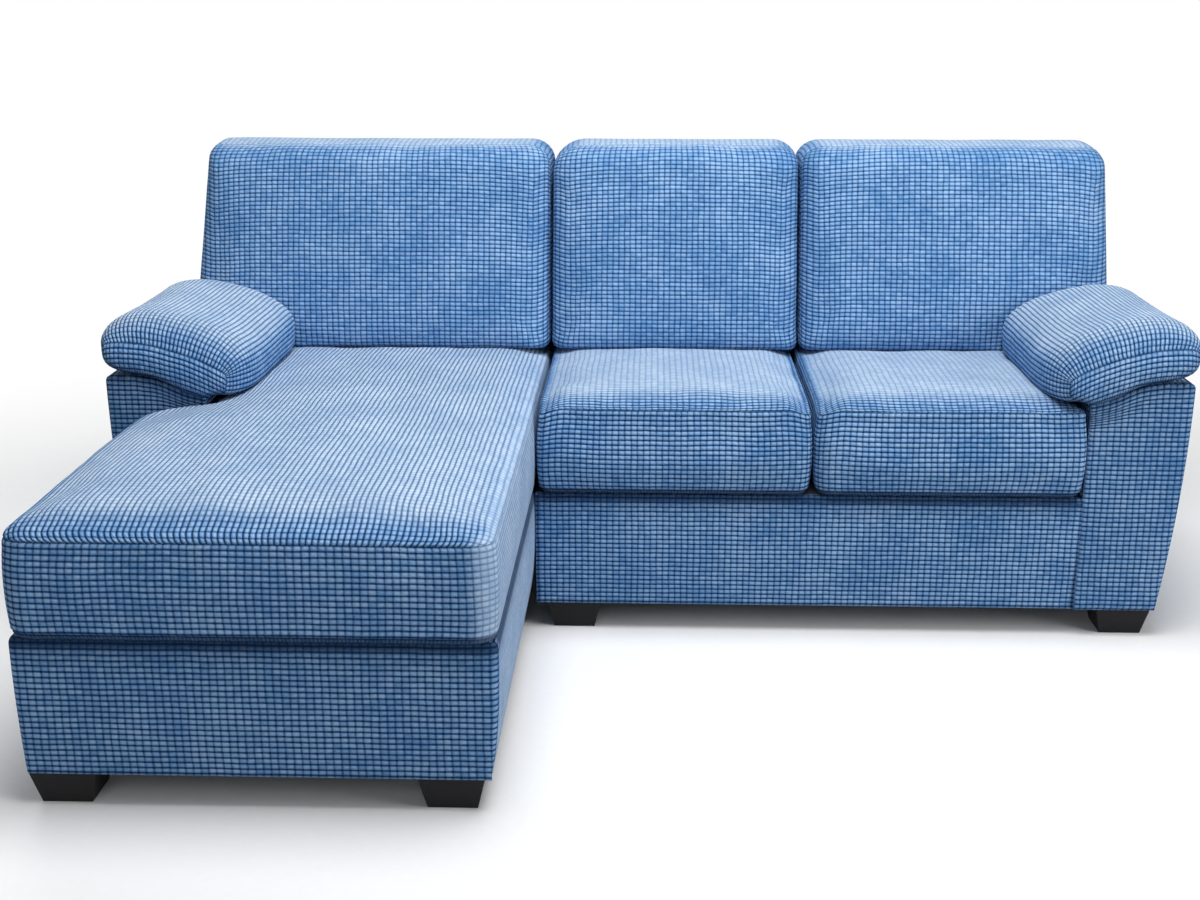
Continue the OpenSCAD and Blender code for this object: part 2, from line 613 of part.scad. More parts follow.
// A strap lies on the posts, a hair behind the inside back
function web_y(z) = post_y(z) - web_level + web_slack;
module back_webbing(x_in) color(lining) for (z = back_web_z)
    along_x(x_in + cover_t, half_in) polygon([[web_y(z), z], [post_y(z), z],
        [post_y(z + web_w), z + web_w], [web_y(z + web_w), z + web_w]]);

// Hook plates on the two-seat module, and the sockets that drop over them
bend_h = 10;
hook_play = 2;
socket_t = 1.2;
hook_gap = 0.5;
bridge_x = love_x - plate_t - fit;
tongue_x = bridge_x - hook_gap;
hook_at = [y_love + hook_front, y_love + hook_front + hook_step];
module hook_plate(y) color(steel) {
    foot_z = hook_z + hook_foot;
    tip_z = foot_z + bend_h + tongue_h;
    along_y(y - hook_w / 2, y + hook_w / 2) polygon([[love_x, hook_z], [love_x, foot_z + bend_h / 2],
        [tongue_x, foot_z + bend_h * 1.5], [tongue_x, tip_z], [tongue_x - plate_t, tip_z],
        [tongue_x - plate_t, foot_z + bend_h], [love_x - plate_t, foot_z], [love_x - plate_t, hook_z]]);
    block([love_x - plate_t, y - hook_w, hook_z], [love_x, y + hook_w, foot_z - bend_h]);
}
module socket_plate(y) color(steel) {
    low = hook_z + hook_foot + bend_h * 1.8;
    high = low + tongue_h * 0.66;
    open = hook_w / 2 + hook_play;
    wall = open + 3 * plate_t;
    block([chaise_x, y - hook_w, low - 3 * bend_h], [chaise_x + socket_t, y + hook_w, high + 3 * bend_h]);
    difference() {
        block([chaise_x, y - wall, low], [bridge_x + socket_t, y + wall, high]);
        block([chaise_x + socket_t, y - open, low - 1], [bridge_x, y + open, high + 1]);
    }
}

// Two-seat module
module love_long_rails() for (y = love_boards_y) board_x(love_end_x + board_t, half_in - board_t, y);
module love_end_rails() for (x = [love_end_x, half_in - board_t]) board_y(x, y_love + band_t, y_rail_rear);
module love_corner_blocks() color(timber) {
    rear = love_boards_y[2] - block_w;
    front = y_love + band_t + board_t;
    corner_block([love_end_x + board_t, front], love_feet_at[0]);
    corner_block([love_end_x + board_t, rear], love_feet_at[3]);
    corner_block([half_in + cover_t + ply_t, y_love + band_t + ply_t], love_feet_at[1]);
    corner_block([half_in + cover_t + ply_t, y_rail_rear - ply_t - block_w], love_feet_at[2]);
}
module love_springs() {
    x0 = love_end_x + board_t;
    n = floor((half_in - board_t - x0) / spring_step);
    for (i = [0:n - 1])
        translate([x0 + (half_in - board_t - x0) * (i + 0.5) / n, y_love + band_t + board_t / 2, 0])
            spring(spring_board_y - y_love - band_t);
}
module love_deck() color(lining)
    block([love_end_x, y_love + band_t, deck_h - deck_t], [half_in, y_deck_end, deck_h]);
module love_front_band() color(blue) along_x(love_x, half_in)
    polygon(band(y_love, 1, band_t, hem_pull));
module love_end_cover() color(lining)
    block([love_x, y_love + band_t, hem_h], [love_end_x, y_rail_rear, deck_h]);
module love_dust_cover() color(lining) difference() {
    block([love_end_x, y_love + band_t, frame_z - cloth_t], [dust_x, y_rail_rear, frame_z]);
    for (at = love_feet_at) bolt_hole(at, bolt_d + 4);
}
module love_feet() color(black) for (at = love_feet_at) foot(at);
module love_foot_bolts() color(steel) for (at = love_feet_at) foot_bolt(at);
module love_hook_plates() for (y = hook_at) hook_plate(y);

// Chaise module
module chaise_side_rails() {
    board_y(chaise_ear_x, chaise_front_y, y_arm);
    board_y(-half_in, y_arm, y_rail_rear);
    board_y(chaise_right_x, chaise_front_y, y_rail_rear);
}
module chaise_cross_rails() {
    board_x(chaise_ear_x + board_t, chaise_right_x, chaise_front_y);
    board_x(chaise_ear_x + board_t, chaise_right_x, y_arm - board_t);
    for (y = [spring_board_y, y_rail_rear - board_t]) board_x(-half_in + board_t, chaise_right_x, y);
}
module chaise_corner_blocks() color(timber) {
    rear = y_rail_rear - board_t - block_w;
    front = chaise_front_y + board_t;
    corner_block([chaise_ear_x + board_t, front], chaise_feet_at[0]);
    corner_block([chaise_right_x - block_w, front], chaise_feet_at[1]);
    corner_block([chaise_right_x - block_w, rear], chaise_feet_at[2]);
    corner_block([-half_in - cover_t - ply_t - block_w, y_rail_rear - ply_t - block_w], chaise_feet_at[3]);
}
module cross_springs(x0, y0, y1) {
    n = floor((y1 - y0) / spring_step);
    for (i = [0:n - 1]) translate([x0 + board_t / 2, y0 + (y1 - y0) * (i + 0.5) / n, 0])
        rotate(-90) spring(chaise_right_x - x0);
}
module chaise_springs() {
    cross_springs(chaise_ear_x, chaise_front_y + board_t, y_arm - board_t);
    cross_springs(-half_in, y_arm, spring_board_y);
}
module chaise_plan() polygon([[chaise_ear_x, chaise_front_y], [chaise_side_x, chaise_front_y],
    [chaise_side_x, y_deck_end], [-half_in, y_deck_end], [-half_in, y_arm], [chaise_ear_x, y_arm]]);
module chaise_deck() color(lining) translate([0, 0, deck_h - deck_t]) linear_extrude(deck_t) chaise_plan();
module chaise_front_band() color(blue) intersection() {
    along_x(ear_x, chaise_x) polygon(band(y_chaise, 1, band_t, hem_pull));
    along_y(y_chaise, chaise_front_y)
        polygon(concat(band_face(ear_x, 1, hem_pull),
            reversed(band_face(chaise_x, -1, side_pull))));
    translate([0, 0, hem_h]) linear_extrude(deck_h) polygon(concat([[ear_x, chaise_front_y]],
        arc([ear_x + band_round, y_chaise + band_round], band_round, 180, 270, 6),
        arc([chaise_x - band_round, y_chaise + band_round], band_round, 270, 360, 6),
        [[chaise_x, chaise_front_y]]));
}
module chaise_right_cover() color(blue) along_y(chaise_front_y, y_rail_rear)
    polygon(band(chaise_x, -1, side_t, side_pull));
module chaise_left_cover() color(blue) along_y(chaise_front_y, y_arm)
    polygon(band(ear_x, 1, cover_t, hem_pull));
module chaise_dust_cover() color(lining) difference() {
    translate([0, 0, frame_z - cloth_t]) linear_extrude(cloth_t) polygon([[chaise_ear_x, chaise_front_y],
        [chaise_side_x, chaise_front_y], [chaise_side_x, y_rail_rear], [-dust_x, y_rail_rear],
        [-dust_x, y_love + band_t], [-half_in, y_love + band_t], [-half_in, y_arm], [chaise_ear_x, y_arm]]);
    for (at = chaise_feet_at) bolt_hole(at, bolt_d + 4);
}
module chaise_feet() color(black) for (at = chaise_feet_at) foot(at);
module chaise_foot_bolts() color(steel) for (at = chaise_feet_at) foot_bolt(at);
module chaise_socket_plates() for (y = hook_at) socket_plate(y);
module left_side() mirror([1, 0, 0]) children();

// Loose cushions: covers, foam cores and zips
module seat_cover(x0, x1) color(blue) difference() {
    seat_cushion(x0, x1);
    seat_core(x0, x1, visible_y[0], y_seat_end, 0);
    zip_pocket((x0 + x1) / 2);
}
module seat_foam(x0, x1) color(foam) seat_core(x0, x1, visible_y[0], y_seat_end, -fit);
left_seat = [x_joint + side_gap / 2, seat_mid - side_gap / 2];
right_seat = [seat_mid + side_gap / 2, half_in - side_gap];
module chaise_cushion_cover() color(blue) difference() {
    chaise_cushion();
    chaise_core(0);
    zip_pocket(x_joint - chaise_seat_w / 2);
}
module outer_back_cover(x0, x1, taper) color(blue) difference() {
    back_cushion(outer_back_corners(x0, x1, taper), x0, x1);
    outer_back_core(x0, x1 - taper, 0);
}
module middle_back_cover() color(blue) difference() {
    back_cushion(middle_corners, middle_x[0], middle_x[1]);
    back_core(middle_x[0], middle_x[1], back_z, back_top, 0);
}
outer_left = [side_gap / 2 - x_joint, half_in + left_wing];
outer_right = [back_mid + side_gap / 2, half_in + right_wing];
module left_back_cover() left_side() outer_back_cover(outer_left[0], outer_left[1], left_taper);
module right_back_cover() outer_back_cover(outer_right[0], outer_right[1], right_taper);
module left_back_foam() color(foam) left_side()
    outer_back_core(outer_left[0], outer_left[1] - left_taper, -fit);
module middle_back_foam() color(foam) back_core(middle_x[0], middle_x[1], back_z, back_top, -fit);
module right_back_foam() color(foam)
    outer_back_core(outer_right[0], outer_right[1] - right_taper, -fit);

love_long_rails();
love_end_rails();
love_corner_blocks();
love_springs();
love_deck();
love_front_band();
love_end_cover();
outside_back(love_x);  // love_outside_back
back_posts(love_x, cover_t);  // love_back_posts
back_rails(love_x);  // love_back_rails
back_webbing(love_x);  // love_back_webbing
inside_back(love_x);  // love_inside_back
love_dust_cover();
love_feet();
love_foot_bolts();
love_hook_plates();
arm_frame();  // right_arm_frame
arm_front_panel();  // right_arm_front_panel
arm_outside_panel();  // right_arm_outside_panel
arm_inside_panel();  // right_arm_inside_panel
arm_pillow();  // right_arm_pillow
chaise_side_rails();
chaise_cross_rails();
chaise_corner_blocks();
chaise_springs();
chaise_deck();
chaise_front_band();
chaise_right_cover();
chaise_left_cover();
left_side() outside_back(-chaise_x);  // chaise_outside_back
left_side() back_posts(-chaise_x, side_t + fit);  // chaise_back_posts
left_side() back_rails(-chaise_x);  // chaise_back_rails
left_side() back_webbing(-chaise_x);  // chaise_back_webbing
left_side() inside_back(-chaise_x);  // chaise_inside_back
chaise_dust_cover();
chaise_feet();
chaise_foot_bolts();
chaise_socket_plates();
left_side() arm_frame();  // left_arm_frame
left_side() arm_front_panel();  // left_arm_front_panel
left_side() arm_outside_panel();  // left_arm_outside_panel
left_side() arm_inside_panel();  // left_arm_inside_panel
left_side() arm_pillow();  // left_arm_pillow
chaise_cushion_cover();
color(foam) chaise_core(-fit);  // chaise_cushion_foam
zip(x_joint - chaise_seat_w / 2);  // chaise_cushion_zip
seat_cover(left_seat[0], left_seat[1]);  // left_seat_cover
seat_foam(left_seat[0], left_seat[1]);  // left_seat_foam
zip((left_seat[0] + left_seat[1]) / 2);  // left_seat_zip
seat_cover(right_seat[0], right_seat[1]);  // right_seat_cover
seat_foam(right_seat[0], right_seat[1]);  // right_seat_foam
zip((right_seat[0] + right_seat[1]) / 2);  // right_seat_zip
left_back_cover();
left_back_foam();
middle_back_cover();
middle_back_foam();
right_back_cover();
right_back_foam();
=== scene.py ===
import json
import math
import bpy
import bmesh
import numpy as np
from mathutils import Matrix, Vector


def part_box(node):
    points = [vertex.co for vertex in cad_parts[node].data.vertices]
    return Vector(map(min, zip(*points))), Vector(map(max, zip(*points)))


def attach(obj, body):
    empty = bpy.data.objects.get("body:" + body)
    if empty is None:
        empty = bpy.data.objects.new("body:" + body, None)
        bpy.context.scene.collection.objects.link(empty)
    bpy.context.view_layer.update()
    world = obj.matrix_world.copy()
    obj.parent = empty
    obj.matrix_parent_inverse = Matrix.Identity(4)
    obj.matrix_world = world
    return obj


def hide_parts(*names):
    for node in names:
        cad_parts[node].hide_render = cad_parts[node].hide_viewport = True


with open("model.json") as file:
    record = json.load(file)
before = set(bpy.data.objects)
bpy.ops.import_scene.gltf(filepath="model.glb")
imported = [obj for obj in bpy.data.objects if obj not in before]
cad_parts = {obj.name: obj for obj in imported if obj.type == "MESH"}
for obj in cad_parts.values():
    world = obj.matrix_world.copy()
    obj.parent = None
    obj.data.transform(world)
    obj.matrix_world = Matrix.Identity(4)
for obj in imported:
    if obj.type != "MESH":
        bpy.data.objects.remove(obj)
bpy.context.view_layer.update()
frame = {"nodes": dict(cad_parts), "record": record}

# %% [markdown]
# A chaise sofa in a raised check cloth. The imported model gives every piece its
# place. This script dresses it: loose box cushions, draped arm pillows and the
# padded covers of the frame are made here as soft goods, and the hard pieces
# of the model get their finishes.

MM, WELD = 0.001, 0.00002
scene = bpy.context.scene
scene.view_settings.view_transform = "Standard"

# %% [markdown]
# The sofa's main sizes, in millimetres, as the model has them. A cushion is
# drawn from them in the same frame, so it lies where the model's solid lies.

# %% Main sizes
LEAN = math.radians(14)
HALF_IN, ARM_X, EAR_X = 900.0, 1105.0, -1022.0
LOVE_X, CHAISE_X = -220.0, -228.0
Y_LOVE, Y_ARM, Y_CHAISE, Y_REAR = -55.0, -58.0, -855.0, 875.0
HEM_Z, DECK_Z, ARM_Z, FRAME_TOP = 60.0, 303.0, 548.0, 872.0
SEAT_Z, SEAT_T, BACK_T = 303.3, 192.0, 245.0
SEAT_TOP = SEAT_Z + SEAT_T
BACK_Z, BACK_TOP, WING_Z = SEAT_TOP + 2.5, 970.0, 548.3
BACK_H = BACK_TOP - BACK_Z
Y_NOSE, Y_FOOT, Y_SEAT_END = Y_LOVE - 20, 419.0, 615.75
BOARD_IN, SHEET, RAKE = 18.0, 12.0, 25.0

# Neighbouring cushions part here, the left one's edge and the right one's.
JOINT_L, JOINT_R = -224.5, -223.5
SEAT_L, SEAT_R = 345.5, 346.5
BACK_L, BACK_R = 353.5, 354.5
ARM_EDGE = 899.0


def rest_y(z):
    """The front of the back cushions at a height."""
    return Y_FOOT + (z - SEAT_TOP) * math.tan(LEAN)


def out_y(z):
    """The raked outside back at a height."""
    return Y_REAR - RAKE * (FRAME_TOP - z) / (FRAME_TOP - HEM_Z)


for node in ("left_seat_cover", "middle_back_cover", "right_arm_pillow"):
    low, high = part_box(node)
    print(node, [round(v * 1000) for v in (*low, *high)])

# %% [markdown]
# Cloth is sewn from flat panels, and each panel has its own weave direction.
# The helper below gathers panels into one piece: a panel is a grid of points
# with the cloth's own coordinates, in metres, beside it. The panels are then
# welded along their edges. Weld keeps the cloth coordinates apart, so the check
# breaks at a seam, as on the real cover.

# %% A piece sewn from panels
def placed(name, data):
    """A new object in the scene that holds the data."""
    made = bpy.data.objects.new(name, data)
    scene.collection.objects.link(made)
    return made


class Sewn:
    def __init__(self):
        self.points, self.cloth, self.tuck, self.faces = [], [], [], []
        self.count = 0

    def panel(self, grid, cloth, keep=None, tuck=0.0):
        """Adds a grid of points, each with its painted shade; keep says which of its faces stay.
        """
        rows, cols = grid.shape[:2]
        number = self.count + np.arange(rows * cols).reshape(rows, cols)
        self.points.append(grid.reshape(-1, 3))
        self.cloth.append(np.broadcast_to(cloth, (rows, cols, 2)).reshape(-1, 2))
        self.tuck.append(np.broadcast_to(tuck, (rows, cols)).reshape(-1))
        quads = np.stack([number[:-1, :-1], number[1:, :-1], number[1:, 1:], number[:-1, 1:]], -1)
        self.faces.append(quads.reshape(-1, 4) if keep is None else quads[keep])
        self.count += rows * cols

    def make(self, name, body, nodes, fill):
        """Welds the panels into one piece on a body, in place of the nodes."""
        points = np.concatenate(self.points) * MM
        cloth = np.concatenate(self.cloth) * MM
        faces = np.concatenate(self.faces)
        mesh = bpy.data.meshes.new(name)
        mesh.from_pydata(points.tolist(), [], faces.tolist())
        uv = mesh.uv_layers.new(name="cloth")
        loops = np.empty(len(mesh.loops), int)
        mesh.loops.foreach_get("vertex_index", loops)
        uv.data.foreach_set("uv", cloth[loops].ravel())
        # Each point's painted shade is kept as an attribute for the cloth's colour.
        layer = mesh.attributes.new("tuck", "FLOAT", "POINT")
        layer.data.foreach_set("value", np.concatenate(self.tuck))
        work = bmesh.new()
        work.from_mesh(mesh)
        bmesh.ops.remove_doubles(work, verts=work.verts, dist=WELD)
        loose = [v for v in work.verts if not v.link_faces]
        bmesh.ops.delete(work, geom=loose, context="VERTS")
        bmesh.ops.recalc_face_normals(work, faces=work.faces)
        open_edges = sum(1 for e in work.edges if len(e.link_faces) != 2)
        for face in work.faces:
            face.smooth = True
        work.to_mesh(mesh)
        work.free()
        piece = placed(name, mesh)
        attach(piece, body)
        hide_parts(*nodes)
        print(name, len(mesh.vertices), "points,", open_edges, "open edges")
        return piece


COVER_GRID = 14


def spread(places, step=COVER_GRID):
    """Values through the given places, about a step apart."""
    out = [places[0]]
    for a, b in zip(places, places[1:]):
        n = max(1, round(abs(b - a) / step))
        out += list(np.linspace(a, b, n + 1)[1:])
    return np.array(out)


def joined(*parts):
    """Coordinates, broadcast and set side by side as points."""
    return np.stack(np.broadcast_arrays(*parts), -1)


def nearest(grid, value):
    return int(np.argmin(abs(grid - value)))


def cut_grid(gx, gy, corner=None):
    """Which faces of a grid stay when a corner (x, y, way) is cut out of it, and
    the stops of its outline."""
    nx, ny = len(gx) - 1, len(gy) - 1
    keep = np.ones((nx, ny), bool)
    stops = [(0, 0), (nx, 0), (nx, ny), (0, ny)]
    if corner is not None:
        x, y, way = corner
        i, j = nearest(gx, x), nearest(gy, y)
        keep[slice(i) if way[0] < 0 else slice(i, nx),
             slice(j) if way[1] < 0 else slice(j, ny)] = False
        if way == (-1, 1):
            stops[3:] = [(i, ny), (i, j), (0, j)]
        elif way == (1, -1):
            stops[1:2] = [(i, 0), (i, j), (nx, j)]
        else:
            stops = [(i, 0), *stops[1:], (0, j), (i, j)]
    return keep, stops


def lengths(line):
    """Distance along a line at each of its points."""
    return np.append(0, np.cumsum(np.linalg.norm(np.diff(line, axis=0), axis=1)))


def smooth(a, b, x):
    """0 at a and 1 at b, eased at both."""
    t = np.clip((x - a) / (b - a), 0, 1)
    return t * t * (3 - 2 * t)


def hill(d, r, p):
    """1 in the middle, 0 at a distance r; a higher power p is flatter on top."""
    return np.maximum(0, 1 - np.abs(d / r) ** p)


def ripple(points, length, seed):
    """Soft unevenness of wadding: waves in fixed directions, about -1 to 1."""
    draw = np.random.RandomState(seed)
    total = np.zeros(points.shape[:-1])
    for _ in range(9):
        way = draw.normal(size=3)
        way *= 2 * math.pi / (length * draw.uniform(0.7, 1.5) * np.linalg.norm(way))
        total += np.sin(points @ way + draw.uniform(0, 6.28))
    return total / 3.2


# %% [markdown]
# A box cushion has a top and a bottom panel joined by a strip, the boxing. It
# could start as a cube with bevels, but then the check would have no panels to
# follow. Here the top is a grid whose corners are rounded, and the boxing is a
# run of rings round its edge, with a shallow valley where the seam pulls.

# %% Box cushion: its rings
def round_corner(xy, corner, way, radius):
    """Moves the points in a corner's square onto its rounded form."""
    u = 1 + way[0] * (xy[..., 0] - corner[0]) / radius
    v = 1 + way[1] * (xy[..., 1] - corner[1]) / radius
    inside = (u > 0) & (v > 0)
    u, v = np.clip(u, 0, 1), np.clip(v, 0, 1)
    x = corner[0] + way[0] * (u * np.sqrt(1 - v * v / 2) - 1) * radius
    y = corner[1] + way[1] * (v * np.sqrt(1 - u * u / 2) - 1) * radius
    xy[..., 0] = np.where(inside, x, xy[..., 0])
    xy[..., 1] = np.where(inside, y, xy[..., 1])


def walk(stops):
    """Grid places from stop to stop along the grid's lines, back to the first."""
    path = []
    for (i0, j0), (i1, j1) in zip(stops, stops[1:] + stops[:1]):
        n = abs(i1 - i0) + abs(j1 - j0)
        path += [(i0 + (i1 - i0) * k // n, j0 + (j1 - j0) * k // n) for k in range(n)]
    return path


LOW_SEAM, VALLEY = 12.0, 0.8


def boxing_rings(h, roll, puff):
    """Insets and heights of the rings, from the top's edge to the bottom's, and
    which rings are the two seams."""
    bend = [90, 76, 63, 50, 38, 26, 15, 6]
    rings = [(puff + roll * (1 - math.cos(math.radians(a))),
              h - roll * (1 - math.sin(math.radians(a)))) for a in bend]
    z_seam = h - roll - 1.5
    seam = len(rings)
    rings.append((puff + 1.0, z_seam))
    for z in [z_seam - 4, z_seam - 8, *spread([z_seam - 15, LOW_SEAM + 14], 12),
              LOW_SEAM + 7, LOW_SEAM + 3.5]:
        t = 2 * (z - LOW_SEAM) / (z_seam - LOW_SEAM) - 1
        pull = VALLEY * math.exp(-((z_seam - 6 - z) / 4) ** 2)
        rings.append((puff * abs(t) ** 2.2 - pull, z))
    low = len(rings)
    rings += [(puff + 2.2, LOW_SEAM), (puff + 2.5, 8), (puff + 5, 3.5), (puff + 10, 0.8),
              (puff + roll, 0)]
    return rings, seam, low


# %% Box cushion: its panels
# The grid step, and how much shade is painted along the top seam.
GRID, SEAM_PAINTED_SHADE = 12, 0.2


def box_cushion(xs, ys, notch, corners, h, roll, puff, soft, crown, place,
                weave=None, bend=None, turned=False):
    """Panels of a box cushion. xs and ys are its sides, notch its inner corner
    [x, y, quadrant], corners lists (corner, way, radius). soft gives how wide
    the roll is on the sides that face -x, +x, -y and +y. On a turned top the
    rows run front to back."""
    order = [1, 0] if turned else [0, 1]
    whole = puff + roll
    inset = {(0, -1): soft[0], (0, 1): soft[1], (1, -1): soft[2], (1, 1): soft[3]}
    rim_x, rim_y = list(xs), list(ys)
    stops_x = [xs[0] + soft[0], xs[1] - soft[1]]
    stops_y = [ys[0] + soft[2], ys[1] - soft[3]]
    cut = None
    if notch is not None:
        x, y, way = notch
        rim_x.insert(1, x)
        rim_y.insert(1, y)
        cut = (x - way[0] * inset[0, way[0]], y - way[1] * inset[1, way[1]], way)
        stops_x.insert(1, cut[0])
        stops_y.insert(1, cut[1])
    gx, gy = spread(stops_x, GRID), spread(stops_y, GRID)
    keep, stops = cut_grid(gx, gy, cut)
    plan = joined(gx[:, None], gy)
    rim = joined(np.interp(gx, stops_x, rim_x)[:, None], np.interp(gy, stops_y, rim_y))
    for corner, way, radius in corners:
        inner = (corner[0] - way[0] * inset[0, way[0]], corner[1] - way[1] * inset[1, way[1]])
        round_corner(plan, inner, way, max(0.6 * radius, 14))
        round_corner(rim, corner, way, radius)
    if bend is not None:
        plan, rim = bend(plan), bend(rim)
    sew = Sewn()
    cloth = plan.copy()
    cloth[..., 1] -= ys[0] + 3
    if weave is not None:
        cloth[..., 1] += weave(plan[..., 0], plan[..., 1])
    top = np.dstack([plan, h + crown(plan[..., 0], plan[..., 1])])
    sew.panel(place(top), cloth[..., order], keep)
    path = walk(stops)
    path.append(path[0])
    loop, edge, loop_cloth = (np.array([grid[p] for p in path]) for grid in (plan, rim, cloth))
    rings, seam, low = boxing_rings(h, roll, puff)
    flat = np.array([loop + (edge - loop) * (1 - e / whole) for e, _ in rings])
    level = np.array([z for _, z in rings])[:, None]
    fade = np.clip((level - level[seam]) / (h - level[seam]), 0, 1)
    level = level + fade * crown(loop[:, 0], loop[:, 1])
    points = place(np.dstack([flat, level]))
    run = lengths(np.array(rings))
    rolled = loop_cloth + run[:seam + 1, None, None] * (edge - loop) / whole
    number = np.arange(len(rings))[:, None]
    # Painted shade: a little along the top seam, full at the bottom seam, part on the ring above
    # it, and full on the underside.
    tuck = SEAM_PAINTED_SHADE * (number == seam) + 1.0 * (number == low) + 0.45 * (number == low - 1)
    sew.panel(points[:seam + 1], rolled[..., order], tuck=tuck[:seam + 1])
    round_it = loop_cloth[0, 0] + lengths(flat[seam + 6])
    strip = joined(round_it, (run[seam] - run[seam:low + 1])[:, None])
    sew.panel(points[seam:low + 1], strip, tuck=tuck[seam:low + 1])
    under = joined(2 * round_it, (run[low] - run[low:])[:, None])
    sew.panel(points[low:], under, tuck=1.0)
    sew.panel(place(np.dstack([plan, np.zeros(plan.shape[:2])])), plan, keep)
    return sew


# %% [markdown]
# Seat cushions lie level. Their tops crown over foam and wadding, highest in
# the middle of the part that shows, and are pressed flat under the back
# cushions. The crown is a hill in each direction, multiplied.

# %% Seat cushions
SEAT_ROLL, CHAISE_ROLL, SEAT_PUFF = 9.0, 24.0, 5.0
SEAT_SOFT = (17.0, 17.0, 31.0, 22.0)
SEAT_CROWN, CROWN_IN, ROUND = 16, 20, 2.5
PULL, PULL_SIDE, PULL_BACK = 23.0, 60.0, 120.0


def droop(d, depth, width):
    """How much the cloth falls off within a width of the rim."""
    return -depth * np.clip(1 - d / width, 0, 1) ** 2


def long_hill(d, r, p, turn, end):
    """A hill that runs on from a turn straight down to its end."""
    at_turn = hill(np.array(turn), r, p)
    fall = at_turn * np.clip((end - d) / (end - turn), 0, 1)
    return np.where(d < turn, hill(d, r, p), fall)


def on_deck(p):
    return p + np.array([0, 0, SEAT_Z])


def pressed(y):
    """The crown is pressed flat under the back cushions."""
    return 1 - smooth(395, 440, y)


def seat_cushion(name, x0, x1):
    mid, half = (x0 + x1) / 2, (Y_FOOT - Y_NOSE) / 2
    y_mid = Y_NOSE + half

    def crown(x, y):
        along = long_hill(y - y_mid, half - CROWN_IN, ROUND, 0.43 * half,
                          Y_SEAT_END - SEAT_SOFT[3] - y_mid)
        rise = SEAT_CROWN * hill(x - mid, (x1 - x0) / 2 - CROWN_IN, ROUND) * along
        to_side = np.minimum(x - x0, x1 - x) - SEAT_SOFT[0]
        return (rise * pressed(y) + droop(y - Y_NOSE - SEAT_SOFT[2], 5, 95)
                + droop(to_side, 3, 60))

    def place(p):
        """On the deck, with the front's upper corners pulled down, but not the
        one beside the arm."""
        x, y, z = p[..., 0], p[..., 1], p[..., 2]
        to_side = x - x0 if x1 == ARM_EDGE else np.minimum(x - x0, x1 - x)
        side = np.clip(1 - to_side / PULL_SIDE, 0, 1)
        front = np.clip(1 - (y - Y_NOSE) / PULL_BACK, 0, 1)
        return joined(x, y, z + SEAT_Z - PULL * side ** 2 * front * (z / SEAT_T) ** 2)

    corners = [((x, y), (sx, sy), 36 if x in (SEAT_L, SEAT_R) else 20)
               for x, sx in ((x0, -1), (x1, 1)) for y, sy in ((Y_NOSE, -1), (Y_SEAT_END, 1))]
    sew = box_cushion((x0, x1), (Y_NOSE, Y_SEAT_END), None, corners, SEAT_T, SEAT_ROLL,
                      SEAT_PUFF, SEAT_SOFT, crown, place)
    return sew.make(name, "seat_cushion_" + name.split("_")[0], [name + "_cover"], 0.8)


left_seat = seat_cushion("left_seat", JOINT_R, SEAT_L)
right_seat = seat_cushion("right_seat", SEAT_R, ARM_EDGE)

# %% [markdown]
# The chaise cushion is one long L: in front of the arm it widens into an ear.
# A maker cuts it as one top panel, so it is one grid here too, with the corner
# beside the arm left out.

# %% Chaise cushion
EAR_Y, EAR_LEFT, CHAISE_NOSE = Y_ARM - 1, -1023.0, -875.0
CHAISE_ROUND, EAR_ROUND = 42, 100
CHAISE_SOFT = (28.0, 24.0, 31.0, 22.0)


def chaise_crown(x, y):
    """The crown's left side follows the L's, from the ear in to the arm."""
    x0 = EAR_X - (HALF_IN + EAR_X) * smooth(EAR_Y - 200, EAR_Y + 60, y)
    w = JOINT_L - x0
    mid, half = (CHAISE_NOSE + Y_FOOT) / 2, (Y_FOOT - CHAISE_NOSE) / 2
    along = long_hill(y - mid, half - 18, 6, 0.77 * half, Y_SEAT_END - SEAT_SOFT[3] - mid)
    rise = SEAT_CROWN * hill(x - x0 - w / 2, w / 2 - CROWN_IN, ROUND) * along
    return (rise * pressed(y) + droop(y - CHAISE_NOSE - CHAISE_SOFT[2], 9, 95)
            + droop(JOINT_L - x - CHAISE_SOFT[1], 5, 70))


sew = box_cushion((EAR_LEFT, JOINT_L), (CHAISE_NOSE, Y_SEAT_END), (-ARM_EDGE, EAR_Y, (-1, 1)),
                  [((EAR_LEFT, CHAISE_NOSE), (-1, -1), CHAISE_ROUND),
                   ((JOINT_L, CHAISE_NOSE), (1, -1), CHAISE_ROUND),
                   ((JOINT_L, Y_SEAT_END), (1, 1), CHAISE_ROUND),
                   ((-ARM_EDGE, Y_SEAT_END), (-1, 1), CHAISE_ROUND),
                   ((EAR_LEFT, EAR_Y), (-1, 1), EAR_ROUND)],
                  SEAT_T, CHAISE_ROLL, SEAT_PUFF, CHAISE_SOFT, chaise_crown, on_deck,
                  turned=True)
chaise_seat = sew.make("chaise_seat", "chaise_cushion", ["chaise_cushion_cover"], 0.8)

# %% [markdown]
# Back cushions are box cushions stood on edge: their face is the front, and
# they lean 14 degrees. Their cloth wraps far round the edges, so the roll is
# wide and the seam lies out of sight. The outer two reach out over the arms
# with a wing. Near the top the rows dip towards the sides.

# %% Back cushions
BACK_ROLL, BACK_PUFF, BACK_CROWN, BACK_DROP = 50.0, 4.0, 14, 24
BACK_SOFT = (36.0, 36.0, 20.0, 54.0)


def leaned(p):
    """Stands a cushion up in its lean, its rear top edge a little lower."""
    x, up, depth = p[..., 0], p[..., 1], p[..., 2]
    back = BACK_T - depth
    z = BACK_Z + up - BACK_DROP * np.maximum(0, back / BACK_T - 0.5) * up / BACK_H
    return joined(x, rest_y(z) + back, z)


